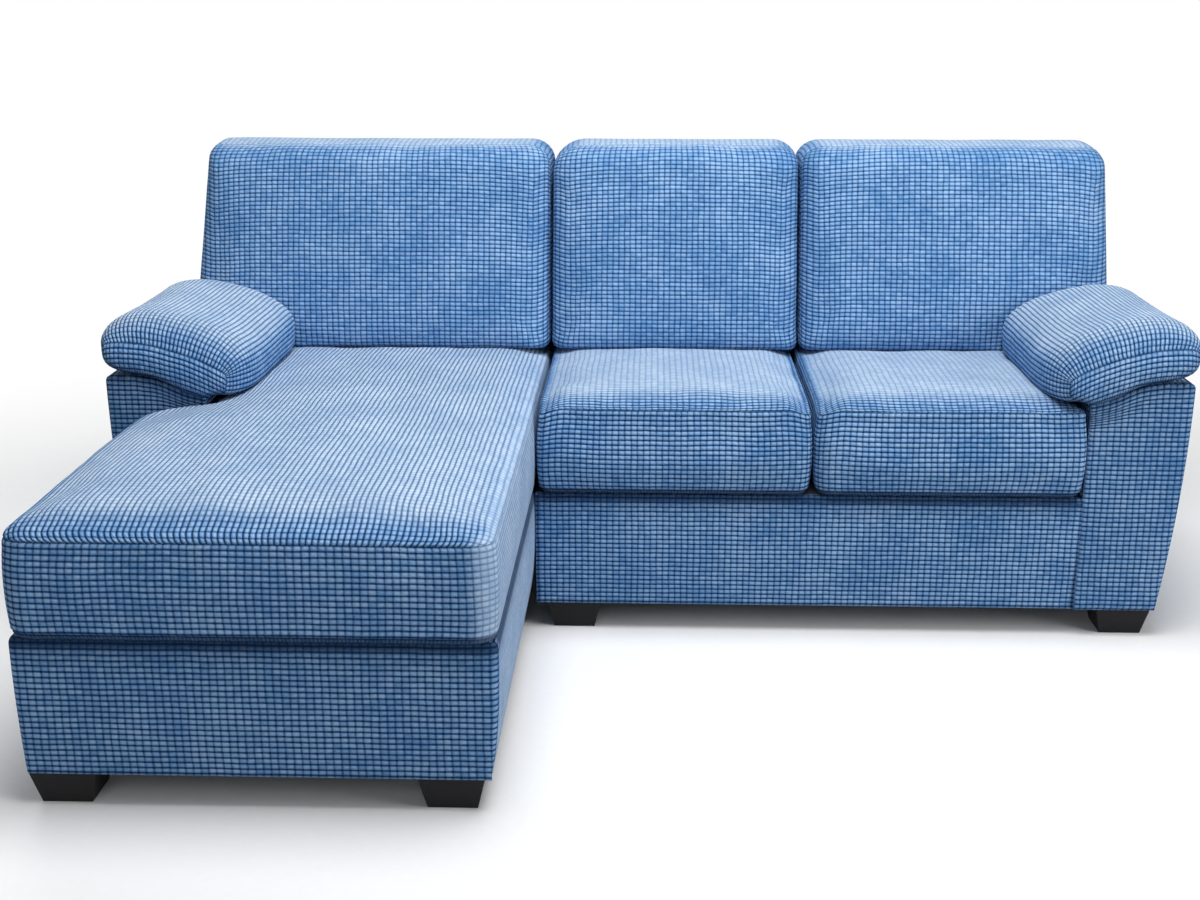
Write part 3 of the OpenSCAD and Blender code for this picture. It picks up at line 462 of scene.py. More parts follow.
def back_cushion(name, body, xs, notch, corners, bend=None):
    mid, half = (xs[0] + xs[1]) / 2, (xs[1] - xs[0]) / 2

    def crown(x, up):
        return (BACK_CROWN * hill(x - mid, half - CROWN_IN, ROUND)
                * hill(up - BACK_H / 2, BACK_H / 2 - CROWN_IN, ROUND))

    def weave(x, up):
        return 0.075 * up + 14 * np.abs((x - mid) / half) ** 3 * smooth(0.35, 1.0, up / BACK_H)

    sew = box_cushion(xs, (0, BACK_H), notch, corners, BACK_T, BACK_ROLL, BACK_PUFF, BACK_SOFT,
                      crown, leaned, weave, bend)
    return sew.make(name, body, [name + "_cover"], 0.85)


WING_UP, WING_R, WING_L, TAPER_X = WING_Z - BACK_Z, 1074.0, -1066.0, 880.0
LOW_ROUND, NOTCH_ROUND, HIGH_ROUND = 16, 29, 52


def taper(side, x_to, amount):
    """Draws a wing's outer edge in towards its top."""
    def bend(plan):
        x_from = side * TAPER_X
        share = np.clip((plan[..., 0] - x_from) / (x_to - x_from), 0, 1)
        rise = np.clip((plan[..., 1] - WING_UP) / (BACK_H - WING_UP), 0, 1)
        plan[..., 0] -= side * amount * share * rise
        return plan
    return bend


middle_back = back_cushion(
    "middle_back", "back_cushion_middle", (JOINT_R, BACK_L), None,
    [((JOINT_R, 0), (-1, -1), LOW_ROUND), ((BACK_L, 0), (1, -1), LOW_ROUND),
     ((BACK_L, BACK_H), (1, 1), HIGH_ROUND), ((JOINT_R, BACK_H), (-1, 1), 70)])
right_back = back_cushion(
    "right_back", "back_cushion_right", (BACK_R, WING_R), (ARM_EDGE, WING_UP, (1, -1)),
    [((BACK_R, 0), (-1, -1), LOW_ROUND), ((ARM_EDGE, 0), (1, -1), NOTCH_ROUND),
     ((WING_R, WING_UP), (1, -1), NOTCH_ROUND), ((WING_R, BACK_H), (1, 1), 48),
     ((BACK_R, BACK_H), (-1, 1), HIGH_ROUND)], taper(1, WING_R, 16.0))
left_back = back_cushion(
    "left_back", "back_cushion_left", (WING_L, JOINT_L), (-ARM_EDGE, WING_UP, (-1, -1)),
    [((-ARM_EDGE, 0), (-1, -1), NOTCH_ROUND), ((JOINT_L, 0), (1, -1), LOW_ROUND),
     ((WING_L, WING_UP), (-1, -1), NOTCH_ROUND), ((JOINT_L, BACK_H), (1, 1), HIGH_ROUND),
     ((WING_L, BACK_H), (-1, 1), 30)], taper(-1, WING_L, 34.0))

# %% [markdown]
# An arm pillow is sewn over the arm and droops towards the seat. Its section is
# a lens that hangs lower at its inner lip. The front is closed by a strip
# whose rows follow the curved seam above it.

# %% Arm pillows
PILLOW_OUT, PILLOW_IN, PILLOW_MID = 1118.0, 797.0, 615.0
PILLOW_Y, PILLOW_RUN, BODY_Y, REAR_Y = -72.0, 488.0, 78, 422.0
OVER_H, UNDER_H, SAG, TIP = 64, 65, 64, 15


def lens(t, n):
    """The height of a lens across, 0 at t = 0 and 1; a higher n is fuller."""
    return np.maximum(0, 1 - np.abs(2 * t - 1) ** n) ** (1 / n)


def sag(t):
    """The pillow's middle line falls towards the seat."""
    return PILLOW_MID - SAG * t * t


def tip(x, s):
    """How much lower the pillow and the arm's front meet at the inner corner."""
    return TIP * smooth(868, 905, x) * smooth(1010, 930, x) * smooth(150, 50, s)


def pillow_point(side, s, high, low, t, over):
    """A point of the pillow: s along it, t across, over or under; high and low
    are how far its top and its underside are drawn in there."""
    slim = 0.35 * high
    lip = PILLOW_IN + 10 + 24 * np.clip(1 - s / 170, 0, 1) ** 2 + slim
    x = PILLOW_OUT - slim - (PILLOW_OUT - slim - lip) * t
    rise = (OVER_H - high) * lens(t, np.where(t < 0.5, 2.3, 3.2))
    drop = -(UNDER_H - low) * lens(t, 4) - tip(x, s)
    z = sag(t) + np.where(over, rise, drop)
    y = PILLOW_Y + s + (z - ARM_Z) * math.tan(LEAN) * s / PILLOW_RUN
    return joined(side * x, y, z)


def arm_pillow(word, body, side):
    t = (1 - np.cos(np.pi * np.linspace(0, 1, 57))) / 2
    nose = np.radians([0, 8, 17, 27, 37, 48, 60, 74, 90])
    front = [(4 + 74 * (1 - math.cos(a)), 58 * (1 - math.sin(a)), 9 * (1 - math.sin(a)))
             for a in nose]
    front[0] = (0.5, 56.5, 9)
    body_run = [(s, 2 * math.sin(math.pi * (s - BODY_Y) / (REAR_Y - BODY_Y)), 0)
                for s in spread([90, REAR_Y], 12)]
    rear = [(PILLOW_RUN - d, n, n) for d, n in ((55, 1), (38, 4), (22, 9), (9, 18), (0, 34))]
    stations = front + body_run + rear
    top, under = (np.array([pillow_point(side, *station, t, over) for station in stations])
                  for over in (True, False))
    across = lengths(top[14])
    along = lengths(top[:, 28])[:, None]
    beneath = across[-1] + lengths(under[14, ::-1])[::-1]
    sew = Sewn()
    # Painted shade along the top's front edge, and on the underside, deepest in its middle.
    sew.panel(top, joined(along, side * across), tuck=0.5 * (along == 0))
    sew.panel(under, joined(along, side * beneath), tuck=smooth(0.6, 0.97, lens(t, 4)))
    for row, way in ((0, -1), (-1, 1)):
        w = np.linspace(0, 1, 13)[:, None]
        cap = top[row] + w[..., None] * (under[row] - top[row])
        depth = np.linalg.norm(cap - cap[:1], axis=-1)
        full = np.clip(depth[-1:] / 55, 0, 1)
        bulge = 10 * np.abs(np.sin(np.pi * w)) ** 0.6 * full
        bulge[[0, -1]] = 0
        cap[..., 1] += way * bulge
        closing = joined(side * across, -depth)
        # Painted shade just below the seam with the top.
        sew.panel(cap[:11], closing[:11], tuck=0.5 * np.clip(1.2 - depth[:11] / 5, 0, 1))
        # The last rows pucker: the cloth is gathered to twice its width there. Painted shade
        # darkens them towards the underside.
        sew.panel(cap[10:], closing[10:] * (2, 1), tuck=np.array([[0.25], [0.6], [1.0]]))
    return sew.make(word + "_pillow", body, [word + "_arm_pillow"], 0.75)


right_pillow = arm_pillow("right", "loveseat", 1)
left_pillow = arm_pillow("left", "chaise", -1)

# %% [markdown]
# The frame's covers are cloth over wadding, stapled on boards. Each is a padded
# sheet: a face, a back a little behind it, and an edge all round. A plane with
# Solidify would do for the flat ones. The arms and the rolled tops need rows
# that follow their own curves, so each face is drawn as a grid.

# %% Padded sheet
QUARTER = np.radians([15, 30, 45, 60, 75, 90])


def padded_sheet(sew, face, back, cloth, keep=None, stops=None, tuck=0.0):
    """Sews a face, its back and the edge between them; stops go round it. Painted shade, if given,
    goes on the face only.
    """
    sew.panel(face, cloth, keep, tuck)
    sew.panel(back, cloth, keep)
    rows, cols = face.shape[0] - 1, face.shape[1] - 1
    path = walk(stops or [(0, 0), (rows, 0), (rows, cols), (0, cols)])
    path.append(path[0])
    edge = np.array([[face[p], back[p]] for p in path])
    at = np.array([cloth[p] for p in path])
    thick = np.linalg.norm(edge[:, 1] - edge[:, 0], axis=1)
    sew.panel(edge, np.stack([at, at - joined(0, thick)], 1))


COVER_FILL = 0.3


def sheet_piece(name, body, node, fill, *sheet, **more):
    """A cover that is one padded sheet."""
    sew = Sewn()
    padded_sheet(sew, *sheet, **more)
    return sew.make(name, body, [node], fill)


# %% [markdown]
# The base bands hang from a rolled top edge and draw in towards the hem. The
# same profile serves the front bands and the chaise's two side covers: how far
# it stands out at each height, and how thick it is.

# %% Base bands
ROLL, HOLLOW, HOLLOW_H = 14.0, 1.5, 225


def band_profile(drawn, power):
    """Distance in from the face, and height, from the hem to the top's rear."""
    z = spread([HEM_Z, DECK_Z - ROLL - 8, DECK_Z - ROLL], 11)
    share = 1 - (z - HEM_Z) / (DECK_Z - ROLL - HEM_Z)
    face = joined(drawn * share ** power, z)
    roll = joined(8 * (1 - np.cos(QUARTER)), DECK_Z - ROLL * (1 - np.sin(QUARTER)))
    return np.concatenate([face, roll])


def under_shade(z):
    """Painted shade: dark in the crevice under the seats, then a painted shadow on the cloth just
    below it.
    """
    return (0.7 * smooth(DECK_Z - 24, DECK_Z - 11, z)
            + 0.35 * smooth(DECK_Z - 62, DECK_Z - 12, z))


def band_cloth(across, profile):
    down = lengths(profile)
    return joined(across[:, None], down - down[-1])


def band(name, body, node, start, end, inward, drawn, power, thick):
    """A band from start to end in plan; inward is its way in."""
    profile = band_profile(drawn, power)
    start, end, inward = map(np.array, (start, end, inward))
    run = np.linalg.norm(end - start)
    stations = spread([0, run])
    way = (end - start) / run
    flat = start + stations[:, None] * way
    z = profile[:, 1]
    puffed = -HOLLOW * np.sin(np.pi * stations / run)[:, None] * np.sin(
        np.pi * np.clip((z - HEM_Z) / HOLLOW_H, 0, 1))
    depth = profile[None, :, 0] + puffed
    plan = flat[:, None] + depth[..., None] * inward
    behind = (flat + thick * inward)[:, None]
    face, back = (joined(spot[..., 0], spot[..., 1], z) for spot in (plan, behind))
    return sheet_piece(name, body, node, COVER_FILL, face, back,
                       band_cloth(start @ way + stations, profile), tuck=under_shade(z))


Y_FRONT = Y_CHAISE + BOARD_IN
love_band = band("love_band", "loveseat", "love_front_band", (LOVE_X - 5.5, Y_LOVE),
                 (HALF_IN, Y_LOVE), (0, 1), 8, 2, BOARD_IN)
chaise_right = band("chaise_right", "chaise", "chaise_right_cover", (CHAISE_X, Y_FRONT),
                    (CHAISE_X, 838.0), (-1, 0), 16, 3, 20)
chaise_left = band("chaise_left", "chaise", "chaise_left_cover", (EAR_X, Y_ARM),
                   (EAR_X, Y_FRONT), (1, 0), 8, 2, SHEET)

# %% [markdown]
# The chaise's front band turns both corners, so its ends follow the two side
# covers down to the hem.

# %% Chaise front band
def chaise_front():
    profile = band_profile(8, 2)
    left_in, z = profile.T
    right_in = band_profile(16, 3)[:, 0]

    def turn(x_out, way, drawn):
        """A corner, from the side cover round to the front."""
        for a in np.radians(np.linspace(0, 90, 8)):
            dx, dy = ROLL * (1 - math.cos(a)), ROLL * (1 - math.sin(a))
            yield joined(x_out + way * dx + way * drawn * (1 - dx / ROLL),
                         Y_CHAISE + dy + left_in * (1 - dy / ROLL), z)

    face = [*turn(EAR_X, 1, left_in)]
    face += [joined(x, Y_CHAISE + left_in, z)
             for x in spread([EAR_X + ROLL, CHAISE_X - ROLL])[1:-1]]
    face += reversed([*turn(CHAISE_X, -1, right_in)])
    face = np.array([face[0]] + face + [face[-1]])
    face[0, :, 1] = face[-1, :, 1] = Y_FRONT
    held_in = np.clip(face[..., 0], EAR_X + left_in + SHEET, CHAISE_X - right_in - SHEET)
    back = joined(held_in + 0.05 * (face[..., 0] - held_in), Y_FRONT, face[..., 2])
    return sheet_piece("chaise_front", "chaise", "chaise_front_band", COVER_FILL, face, back,
                       band_cloth(EAR_X + lengths(face[:, 8]), profile), tuck=under_shade(z))


chaise_band = chaise_front()

# %% [markdown]
# Each arm has three covered faces. The front one is cut to the arm's outline,
# straight inside, flared outside, with its top curved under the pillow. The
# outside one follows the flare up and over the rounded shoulder, and the
# inside one climbs from the deck and runs out under the pillow.

# %% Arm covers
ARM_ROUND, EDGE_W = 12.0, 12


def arm_out(z):
    """The flared outside at a height."""
    return ARM_X - 38 * (1 - (z - HEM_Z) / (ARM_Z - HEM_Z)) ** 2


def arm_top(x):
    """The arm's top, just under the pillow."""
    t = np.clip((PILLOW_OUT - x) / (PILLOW_OUT - PILLOW_IN), 0, 1)
    return np.minimum(ARM_Z, sag(t) - UNDER_H * lens(t, 4) - 0.3)


def arm_front(name, body, side):
    """An arm's front face, flared outside and hollow under the pillow."""
    s, w = spread([0, 1], 1 / 17)[:, None], spread([0, 1], 1 / 42)[None, :]
    s = 0.5 - 0.5 * np.cos(np.pi * s) * 0.55 - 0.45 * (0.5 - s)
    w = 0.5 - 0.5 * np.cos(np.pi * w) * 0.3 - 0.7 * (0.5 - w)
    z = HEM_Z + w * (ARM_Z - HEM_Z)
    xz = joined(HALF_IN + s * (arm_out(z) - HALF_IN), z)
    round_corner(xz, (ARM_X, ARM_Z), (1, 1), ARM_ROUND)
    x, z = xz[..., 0], xz[..., 1]
    reach, top = arm_out(z), arm_top(x) - tip(x, 0)
    z = HEM_Z + (z - HEM_Z) * (top - HEM_Z) / (ARM_Z - HEM_Z)
    edge = np.minimum.reduce([2 * (x - HALF_IN) + 4, reach - x, z - HEM_Z, top - z])
    edge = np.clip(edge, 0, EDGE_W)
    y = Y_ARM + 5 * (1 - edge / EDGE_W) ** 2 - 2.0 * np.sin(np.pi * s) * np.sin(np.pi * w)
    below = np.maximum(top - z, 0)
    rows = z - ARM_Z + (ARM_Z - top) * smooth(60, 12, below)
    # Painted shade: a little over the whole front, much more just under the pillow and along the
    # inner edge.
    shade = 0.14 + 0.5 * smooth(20, 4, below) + 0.2 * smooth(6, 0, x - HALF_IN)
    return sheet_piece(name, body, name + "_panel", 0.35, joined(side * x, y, z),
                       joined(side * x, Y_LOVE + BOARD_IN, z), joined(side * x, rows), tuck=shade)


def shoulder(e):
    """Outside line of an arm, from the hem over its shoulder, drawn in by e."""
    z = spread([HEM_Z, ARM_Z - ARM_ROUND], 13)
    arc = joined(ARM_X - ARM_ROUND + (ARM_ROUND - e) * np.cos(QUARTER),
                 ARM_Z - ARM_ROUND + (ARM_ROUND - e) * np.sin(QUARTER))
    return np.concatenate([joined(arm_out(z) - e, z), arc])


def arm_sheet(name, body, side, face_line, back_line):
    """A sheet from the arm's front to its rear that follows a line in section."""
    s = spread([0, 1], 1 / 62)[:, None]
    sheets = []
    for x, z in (face_line.T, back_line.T):
        y = Y_LOVE + BOARD_IN + s * (out_y(z) - SHEET - Y_LOVE - BOARD_IN)
        sheets.append(joined(side * x, y, z))
    down = lengths(face_line)
    return sheet_piece(name, body, name + "_panel", COVER_FILL, *sheets,
                       joined(sheets[0][..., 1], down - down[-1]))


def inner_line(e):
    """Inside line of an arm, up from the deck and out under the pillow."""
    z = np.linspace(HEM_Z + 8, arm_top(HALF_IN) - e, 34)
    x = np.linspace(HALF_IN + e, ARM_X - ARM_ROUND, 16)[1:]
    return np.concatenate([joined(HALF_IN + e, z), joined(x, arm_top(x) - e)])


arms = []
for side, word, body in ((1, "right", "loveseat"), (-1, "left", "chaise")):
    arms.append(arm_front(word + "_arm_front", body, side))
    for part, line in (("_arm_outside", shoulder), ("_arm_inside", inner_line)):
        arms.append(arm_sheet(word + part, body, side, line(0), line(SHEET)))

# %% [markdown]
# The outside back is one cloth face stretched over the whole rear, arm and all,
# so its outline is the arm's below and the wing's above.

# %% Outside backs
WING_X, CAP_ROUND, SWELL = 1058.0, 22.0, 3


def rounded(z, x_out, top, radius, side_line):
    """How far out a back with a rounded upper corner reaches at each height."""
    bend = radius ** 2 - np.maximum(0, z - top + radius) ** 2
    return np.where(z > top - radius, x_out - radius + np.sqrt(np.maximum(0, bend)), side_line)


def outside_back(name, body, side, x_in):
    """The whole rear face; side is 1 on the right and -1 on the left."""
    levels, reach = [], []
    for low, top, radius, x_out in ((HEM_Z, ARM_Z, ARM_ROUND, ARM_X),
                                    (ARM_Z, FRAME_TOP, CAP_ROUND, WING_X)):
        z = np.append(spread([low, top - radius]),
                      top - radius * np.array([0.6, 0.3, 0.12, 0.0]))
        levels.append(z)
        reach.append(rounded(z, x_out, top, radius, arm_out(z) if x_out == ARM_X else x_out))
    z, reach = np.concatenate(levels), np.concatenate(reach)
    s = spread([0, 1], COVER_GRID / (ARM_X - x_in))[:, None]
    x = x_in + s * (reach - x_in)
    swell = SWELL * np.sin(np.pi * s) * np.sin(np.pi * (z - HEM_Z) / (FRAME_TOP - HEM_Z))
    return sheet_piece(name + "_rear", body, name + "_outside_back", COVER_FILL,
                       joined(side * x, out_y(z) - SWELL + swell, z),
                       joined(side * x, out_y(z) - SHEET, z), joined(-side * x, z - FRAME_TOP))


love_rear = outside_back("love", "loveseat", 1, LOVE_X)
chaise_rear = outside_back("chaise", "chaise", -1, -CHAISE_X)

# %% [markdown]
# The inside back runs up the lean and rolls over the top rail. Over the arm it
# stops at the arm's height. Two end sheets close it.

# %% Inside backs
FRONT_R, REAR_R, STRAIGHT_Z, FRONT_Z, REAR_Z, AIR = 34, 22, 829.0, 838.0, 850.0, 0.3


def roll_line(e):
    """The inside back in section, from the deck over the top, e behind its face."""
    slope = 1 / math.cos(LEAN)
    z = np.concatenate([spread([DECK_Z, ARM_Z]), spread([ARM_Z, STRAIGHT_Z])[1:]])
    parts = [joined(rest_y(z) + BACK_T + AIR + e * slope, z)]
    for y, z, radius, turn in (
            (rest_y(FRONT_Z) + BACK_T + AIR + FRONT_R * slope, FRONT_Z, FRONT_R - e, (166, 90, 8)),
            (out_y(REAR_Z) - SHEET - REAR_R, REAR_Z, REAR_R - e, (90, 0, 6))):
        a = np.radians(np.linspace(*turn))
        parts.append(joined(y + radius * np.cos(a), z + radius * np.sin(a)))
    return np.concatenate(parts)


def end_sheet(sew, side, x, thick, z_low):
    """Closes an end, a hair inside the back of the rolled sheet."""
    line = roll_line(SHEET + AIR)
    z = np.append(spread([z_low, STRAIGHT_Z]),
                  [FRONT_Z, 844.0, 849.6, REAR_Z, 853.0, 856.0, 858.5, 859.5])
    crest = int(np.argmax(line[:, 1])) + 1
    front = np.interp(z, line[:crest, 1], line[:crest, 0])
    bend = np.sqrt(np.maximum(0, 94 - (z - REAR_Z) ** 2))
    rear = np.where(z < REAR_Z, out_y(z) - SHEET, out_y(REAR_Z) - SHEET - REAR_R + bend)
    y = front + np.linspace(0, 1, 12)[:, None] * (rear - front)
    sheets = [joined(side * d, y, z) for d in (x, x - thick)]
    padded_sheet(sew, *sheets, joined(y, z))


def inside_back(name, body, side, x_in):
    """The rolled sheet, cut out over the arm, and its two ends."""
    x = spread([x_in, HALF_IN, WING_X])
    outer, inner = roll_line(0), roll_line(SHEET)
    across = side * x[:, None]
    face, back = (joined(across, *line.T) for line in (outer, inner))
    sew = Sewn()
    padded_sheet(sew, face, back, joined(across, lengths(outer)),
                 *cut_grid(x, outer[:, 1], (HALF_IN, ARM_Z, (1, -1))))
    end_sheet(sew, side, WING_X, SHEET, ARM_Z)
    end_sheet(sew, side, x_in + 1.5, 1.5, DECK_Z)
    return sew.make(name + "_lean", body, [name + "_inside_back"], COVER_FILL)


love_lean = inside_back("love", "loveseat", 1, LOVE_X)
chaise_lean = inside_back("chaise", "chaise", -1, -CHAISE_X)

# %% [markdown]
# A deck pad is thin felt under lining cloth. It lies over the springs, and the
# seat cushions lie on it, so it is flat with soft edges.

# %% Deck pads
def deck_pad(name, body, node, keep_out=None):
    """A pad over its node's box, but for the corner behind keep_out."""
    low, high = (np.array(corner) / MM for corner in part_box(node))
    edges_x, edges_y = [low[0], high[0]], [low[1], high[1]]
    if keep_out is not None:
        edges_x.insert(1, keep_out[0])
        edges_y.insert(1, keep_out[1])
    gx, gy = spread(edges_x, 15), spread(edges_y, 15)
    x, y = np.meshgrid(gx, gy, indexing="ij")
    near = np.minimum.reduce([x - low[0], high[0] - x, y - low[1], high[1] - y])
    if keep_out is not None:
        near = np.minimum(near, np.maximum(x - keep_out[0], keep_out[1] - y))
    top = joined(x, y, high[2] - 2.5 * (1 - np.clip(near / 30, 0, 1)) ** 2)
    return sheet_piece(name, body, node, 0.2, top, joined(x, y, low[2]), joined(x, y),
                       *cut_grid(gx, gy, keep_out))


love_pad = deck_pad("love_deck_pad", "loveseat", "love_deck")
chaise_pad = deck_pad("chaise_deck_pad", "chaise", "chaise_deck",
                      (-HALF_IN, Y_ARM, (-1, 1)))

# %% [markdown]
# The deck pads, dust cloths and the lining are plain woven cloth; the rest of
# the sofa wears one raised check. A finish is built from shader nodes. To read
# like maths, a small class wraps a socket, and its operators add Math nodes.

# %% Shader maths
class Term:
    """A socket of a finish; sums on it add Math nodes."""

    def __init__(self, finish, socket):
        self.finish, self.socket = finish, socket

    def __add__(self, other):
        return self.finish.math("ADD", self, other)

    def __sub__(self, other):
        return self.finish.math("SUBTRACT", self, other)

    def __mul__(self, other):
        return self.finish.math("MULTIPLY", self, other)

    def __rsub__(self, other):
        return self.finish.math("SUBTRACT", other, self)


class Finish:
    """The shader nodes of a material or a world."""

    def __init__(self, name, kept_in=bpy.data.materials):
        self.owner = kept_in.new(name)
        self.owner.use_nodes = True
        self.tree = self.owner.node_tree
        self.tree.nodes.clear()

    def node(self, kind, sockets=None, out=0, **settings):
        made = self.tree.nodes.new("ShaderNode" + kind)
        for key, value in settings.items():
            setattr(made, key, value)
        for key, value in (sockets or {}).items():
            if isinstance(value, Term):
                self.tree.links.new(value.socket, made.inputs[key])
            else:
                made.inputs[key].default_value = value
        return Term(self, made.outputs[out])

    def math(self, operation, *values):
        return self.node("Math", dict(enumerate(values)), operation=operation)

    def attribute(self, name):
        return self.node("Attribute", out=2, attribute_name=name)

    def also(self, term, out):
        """Another output of the node that a term came from."""
        return Term(self, term.socket.node.outputs[out])

    def step(self, value, low, high):
        """0 below low, 1 above high, eased between."""
        return self.node("MapRange", {"Value": value, "From Min": low, "From Max": high},
                         interpolation_type="SMOOTHSTEP")

    def blend(self, factor, a, b):
        a, b = (c if isinstance(c, Term) else (*c, 1) for c in (a, b))
        return self.node("Mix", {0: factor, 6: a, 7: b}, 2, data_type="RGBA")

    def noise(self, where, scale, detail=2.0, rough=0.5):
        return self.node("TexNoise", {"Vector": where, "Scale": scale, "Detail": detail,
                                      "Roughness": rough})

    def scaled(self, where, scale):
        return self.node("Mapping", {"Vector": where, "Scale": scale})

    def place(self, scale=(1, 1, 1)):
        return self.scaled(self.node("TexCoord", out=3), scale)

    def seen(self):
        """1 for camera, mirror and glass rays, else 0."""
        rays = self.node("LightPath")
        direct = self.math("MAXIMUM", rays, self.also(rays, 3))
        return self.math("MAXIMUM", direct, self.also(rays, 6))

    def close(self, shader, kind="OutputMaterial"):
        output = self.tree.nodes.new("ShaderNode" + kind)
        self.tree.links.new(shader.socket, output.inputs[0])
        return self.owner

    def done(self, colour, roughness, height, depth, **constants):
        """Closes a finish: height times depth, in metres, makes the bump."""
        sockets = {"Base Color": colour, "Roughness": roughness,
                   "Normal": self.node("Bump", {"Height": height, "Distance": depth})}
        for key, value in constants.items():
            sockets[key.replace("_", " ")] = value
        return self.close(self.node("BsdfPrincipled", sockets))


# %% [markdown]
# The cloth is a thick check weave: fat cells in rows, with dark grooves between the rows and
# weaker ones between the cells. It is drawn from the cloth's own coordinates, so rows follow every
# panel and break at its seams. Each cell gets its own tone and a painted highlight in its middle,
# fine fibres cross it, and slow clouds run over the whole. Light is painted on as paler copies of
# the colours where the points say so, and painted shade darkens seams, crevices and undersides.

# %% Check cloth
CELL_W, CELL_H = 0.0130, 0.0101


def check_cloth():
    f = Finish("check_cloth")
    cloth = f.node("UVMap", uv_map="cloth")
    axes = f.node("SeparateXYZ", {0: cloth})
    drift = f.node("SeparateColor", {0: f.also(f.noise(cloth, 14.0, 1.0), 1)})
    u = (axes + (drift - 0.5) * 0.004) * (1 / CELL_W)
    v = (f.also(axes, 1) + (f.also(drift, 1) - 0.5) * 0.003) * (1 / CELL_H)
    row, column = f.math("FLOOR", v), f.math("FLOOR", u)
    cell = f.node("CombineXYZ", {0: column, 1: row})
    lot = f.node("TexWhiteNoise", {"Vector": cell}, noise_dimensions="2D")
    from_row = f.math("ABSOLUTE", (v - row) * 2.0 - 1.0)
    from_column = f.math("ABSOLUTE", (u - column) * 2.0 - 1.0)
    patchy = f.noise(cloth, 90.0)
    fat = (patchy - 0.5) * 0.3
    row_gap = f.step(from_row + fat, 0.5, 1.0)
    column_gap = f.step(from_column + fat, 0.55, 0.98) * (f.step(patchy, 0.3, 0.7) * 0.4 + 0.6)
    knot = f.step(from_row * from_column, 0.4, 0.95)
    painted_light, rows, columns, tuck = map(f.attribute, ("painted_light", "rows", "columns", "tuck"))
    groove = f.math("MINIMUM", row_gap * rows * 0.84 + column_gap * columns * 0.55
                    + knot * rows * columns * 0.6, 1.0)
    bead = (1.0 - from_row * from_row) * (1.0 - from_column * from_column * 0.6)
    fibre = f.noise(f.scaled(cloth, (500.0, 1500.0, 1.0)), 1.0, 3.0, 0.65)
    tuft = f.noise(cloth, 260.0)
    cloud = f.noise(cloth, 7.0)
    # Each cell's middle is painted lighter, a painted highlight; the rest of this is tone that
    # varies at random.
    shade = (bead * 0.6 + (lot - 0.5) * 0.3 + (cloud - 0.5) * 0.85 + (fibre - 0.5) * 0.5
             + (tuft - 0.5) * 0.35)
    # Each pair's second colour is painted light, a pale highlight and sheen on faces that turn up
    # or face the chaise's open side. The lighter cell colour is a painted highlight.
    mid = f.blend(painted_light, (0.094, 0.244, 0.505), (0.330, 0.452, 0.625))
    painted_highlight = f.blend(painted_light, (0.315, 0.500, 0.770), (0.545, 0.650, 0.765))
    dark = f.blend(painted_light, (0.002, 0.028, 0.125), (0.08, 0.19, 0.40))
    face = f.blend(f.step(shade, 0.0, 0.95), mid, painted_highlight)
    colour = f.blend(groove * 0.95, face, dark)
    # Painted shade at seams, in crevices and on undersides.
    colour = f.blend(tuck * 0.8, colour, (0.004, 0.024, 0.08))
    height = bead * (rows + columns) * 0.38 - groove * 0.3 + fibre * 0.12 + tuft * 0.12
    return f.done(colour, 0.85, height, 0.004, Sheen_Weight=0.02, Sheen_Roughness=0.4,
                  Sheen_Tint=(0.65, 0.82, 1.0, 1.0), Specular_IOR_Level=0.05)


check = check_cloth()

# %% [markdown]
# Inside pieces have plain, honest finishes: grained timber, plywood with its
# layers, open-celled foam, zinc-plated steel, black nylon zips, felted lining
# and feet of dark speckled plastic.

# %% Hard finishes and lining
def timber(name, pale, deep, stretch):
    f = Finish(name)
    where = f.place(stretch)
    rings = f.math("SINE", f.noise(where, 9.0, 4.0, 0.6) * 26.0) * 0.5 + 0.5
    pores = f.noise(where, 160.0)
    colour = f.blend(f.step(rings, 0.1, 0.9) * 0.7 + (pores - 0.5) * 0.5, pale, deep)
    return f.done(colour, (pores - 0.5) * 0.2 + 0.55, rings * 0.3 + pores * 0.5, 0.0006)


def plain_weave(name, warp, weft, pitch):
    f = Finish(name)
    a = f.node("SeparateXYZ", {0: f.place((1 / pitch,) * 3)})
    b, c = f.also(a, 1), f.also(a, 2)
    thread = (f.math("SINE", (a + c * 0.5) * math.pi)
              * f.math("SINE", (b + c * 0.87) * math.pi))
    fuzz = f.noise(f.place(), 420.0, 3.0)
    colour = f.blend(thread * 0.4 + 0.5 + (fuzz - 0.5) * 0.8, warp, weft)
    return f.done(colour, 0.9, thread * 0.3 + fuzz * 0.6, 0.0008)


def foam():
    f = Finish("cushion_foam")
    cells = f.node("TexVoronoi", {"Vector": f.place(), "Scale": 620.0})
    slow = f.noise(f.place(), 6.0)
    colour = f.blend(f.step(cells, 0.1, 0.8) * 0.8 + (slow - 0.5) * 0.4,
                     (0.72, 0.60, 0.36), (0.90, 0.82, 0.60))
    return f.done(colour, 0.95, cells, 0.0012)


def steel():
    f = Finish("plated_steel")
    brush = f.noise(f.place((1, 1, 6)), 90.0, 3.0)
    patch = f.noise(f.place(), 24.0)
    return f.done(f.blend(patch, (0.42, 0.43, 0.45), (0.62, 0.62, 0.61)), brush * 0.25 + 0.28,
                  brush, 0.0002, Metallic=1.0)


def zip_tape():
    f = Finish("zip_tape")
    weave = f.noise(f.place((1, 1, 5)), 700.0)
    return f.done(f.blend(weave, (0.010, 0.012, 0.020), (0.045, 0.050, 0.070)), 0.7,
                  weave, 0.0004)


def foot_plastic():
    f = Finish("foot_plastic")
    speck = f.noise(f.place(), 900.0, 2.0, 0.7)
    worn = f.noise(f.place(), 34.0, 3.0)
    colour = f.blend(f.step(speck, 0.45, 0.75) * 0.6 + (worn - 0.5) * 0.4,
                     (0.009, 0.009, 0.010), (0.032, 0.032, 0.036))
    return f.done(colour, worn * 0.2 + 0.5, speck, 0.0003, Specular_IOR_Level=0.2)


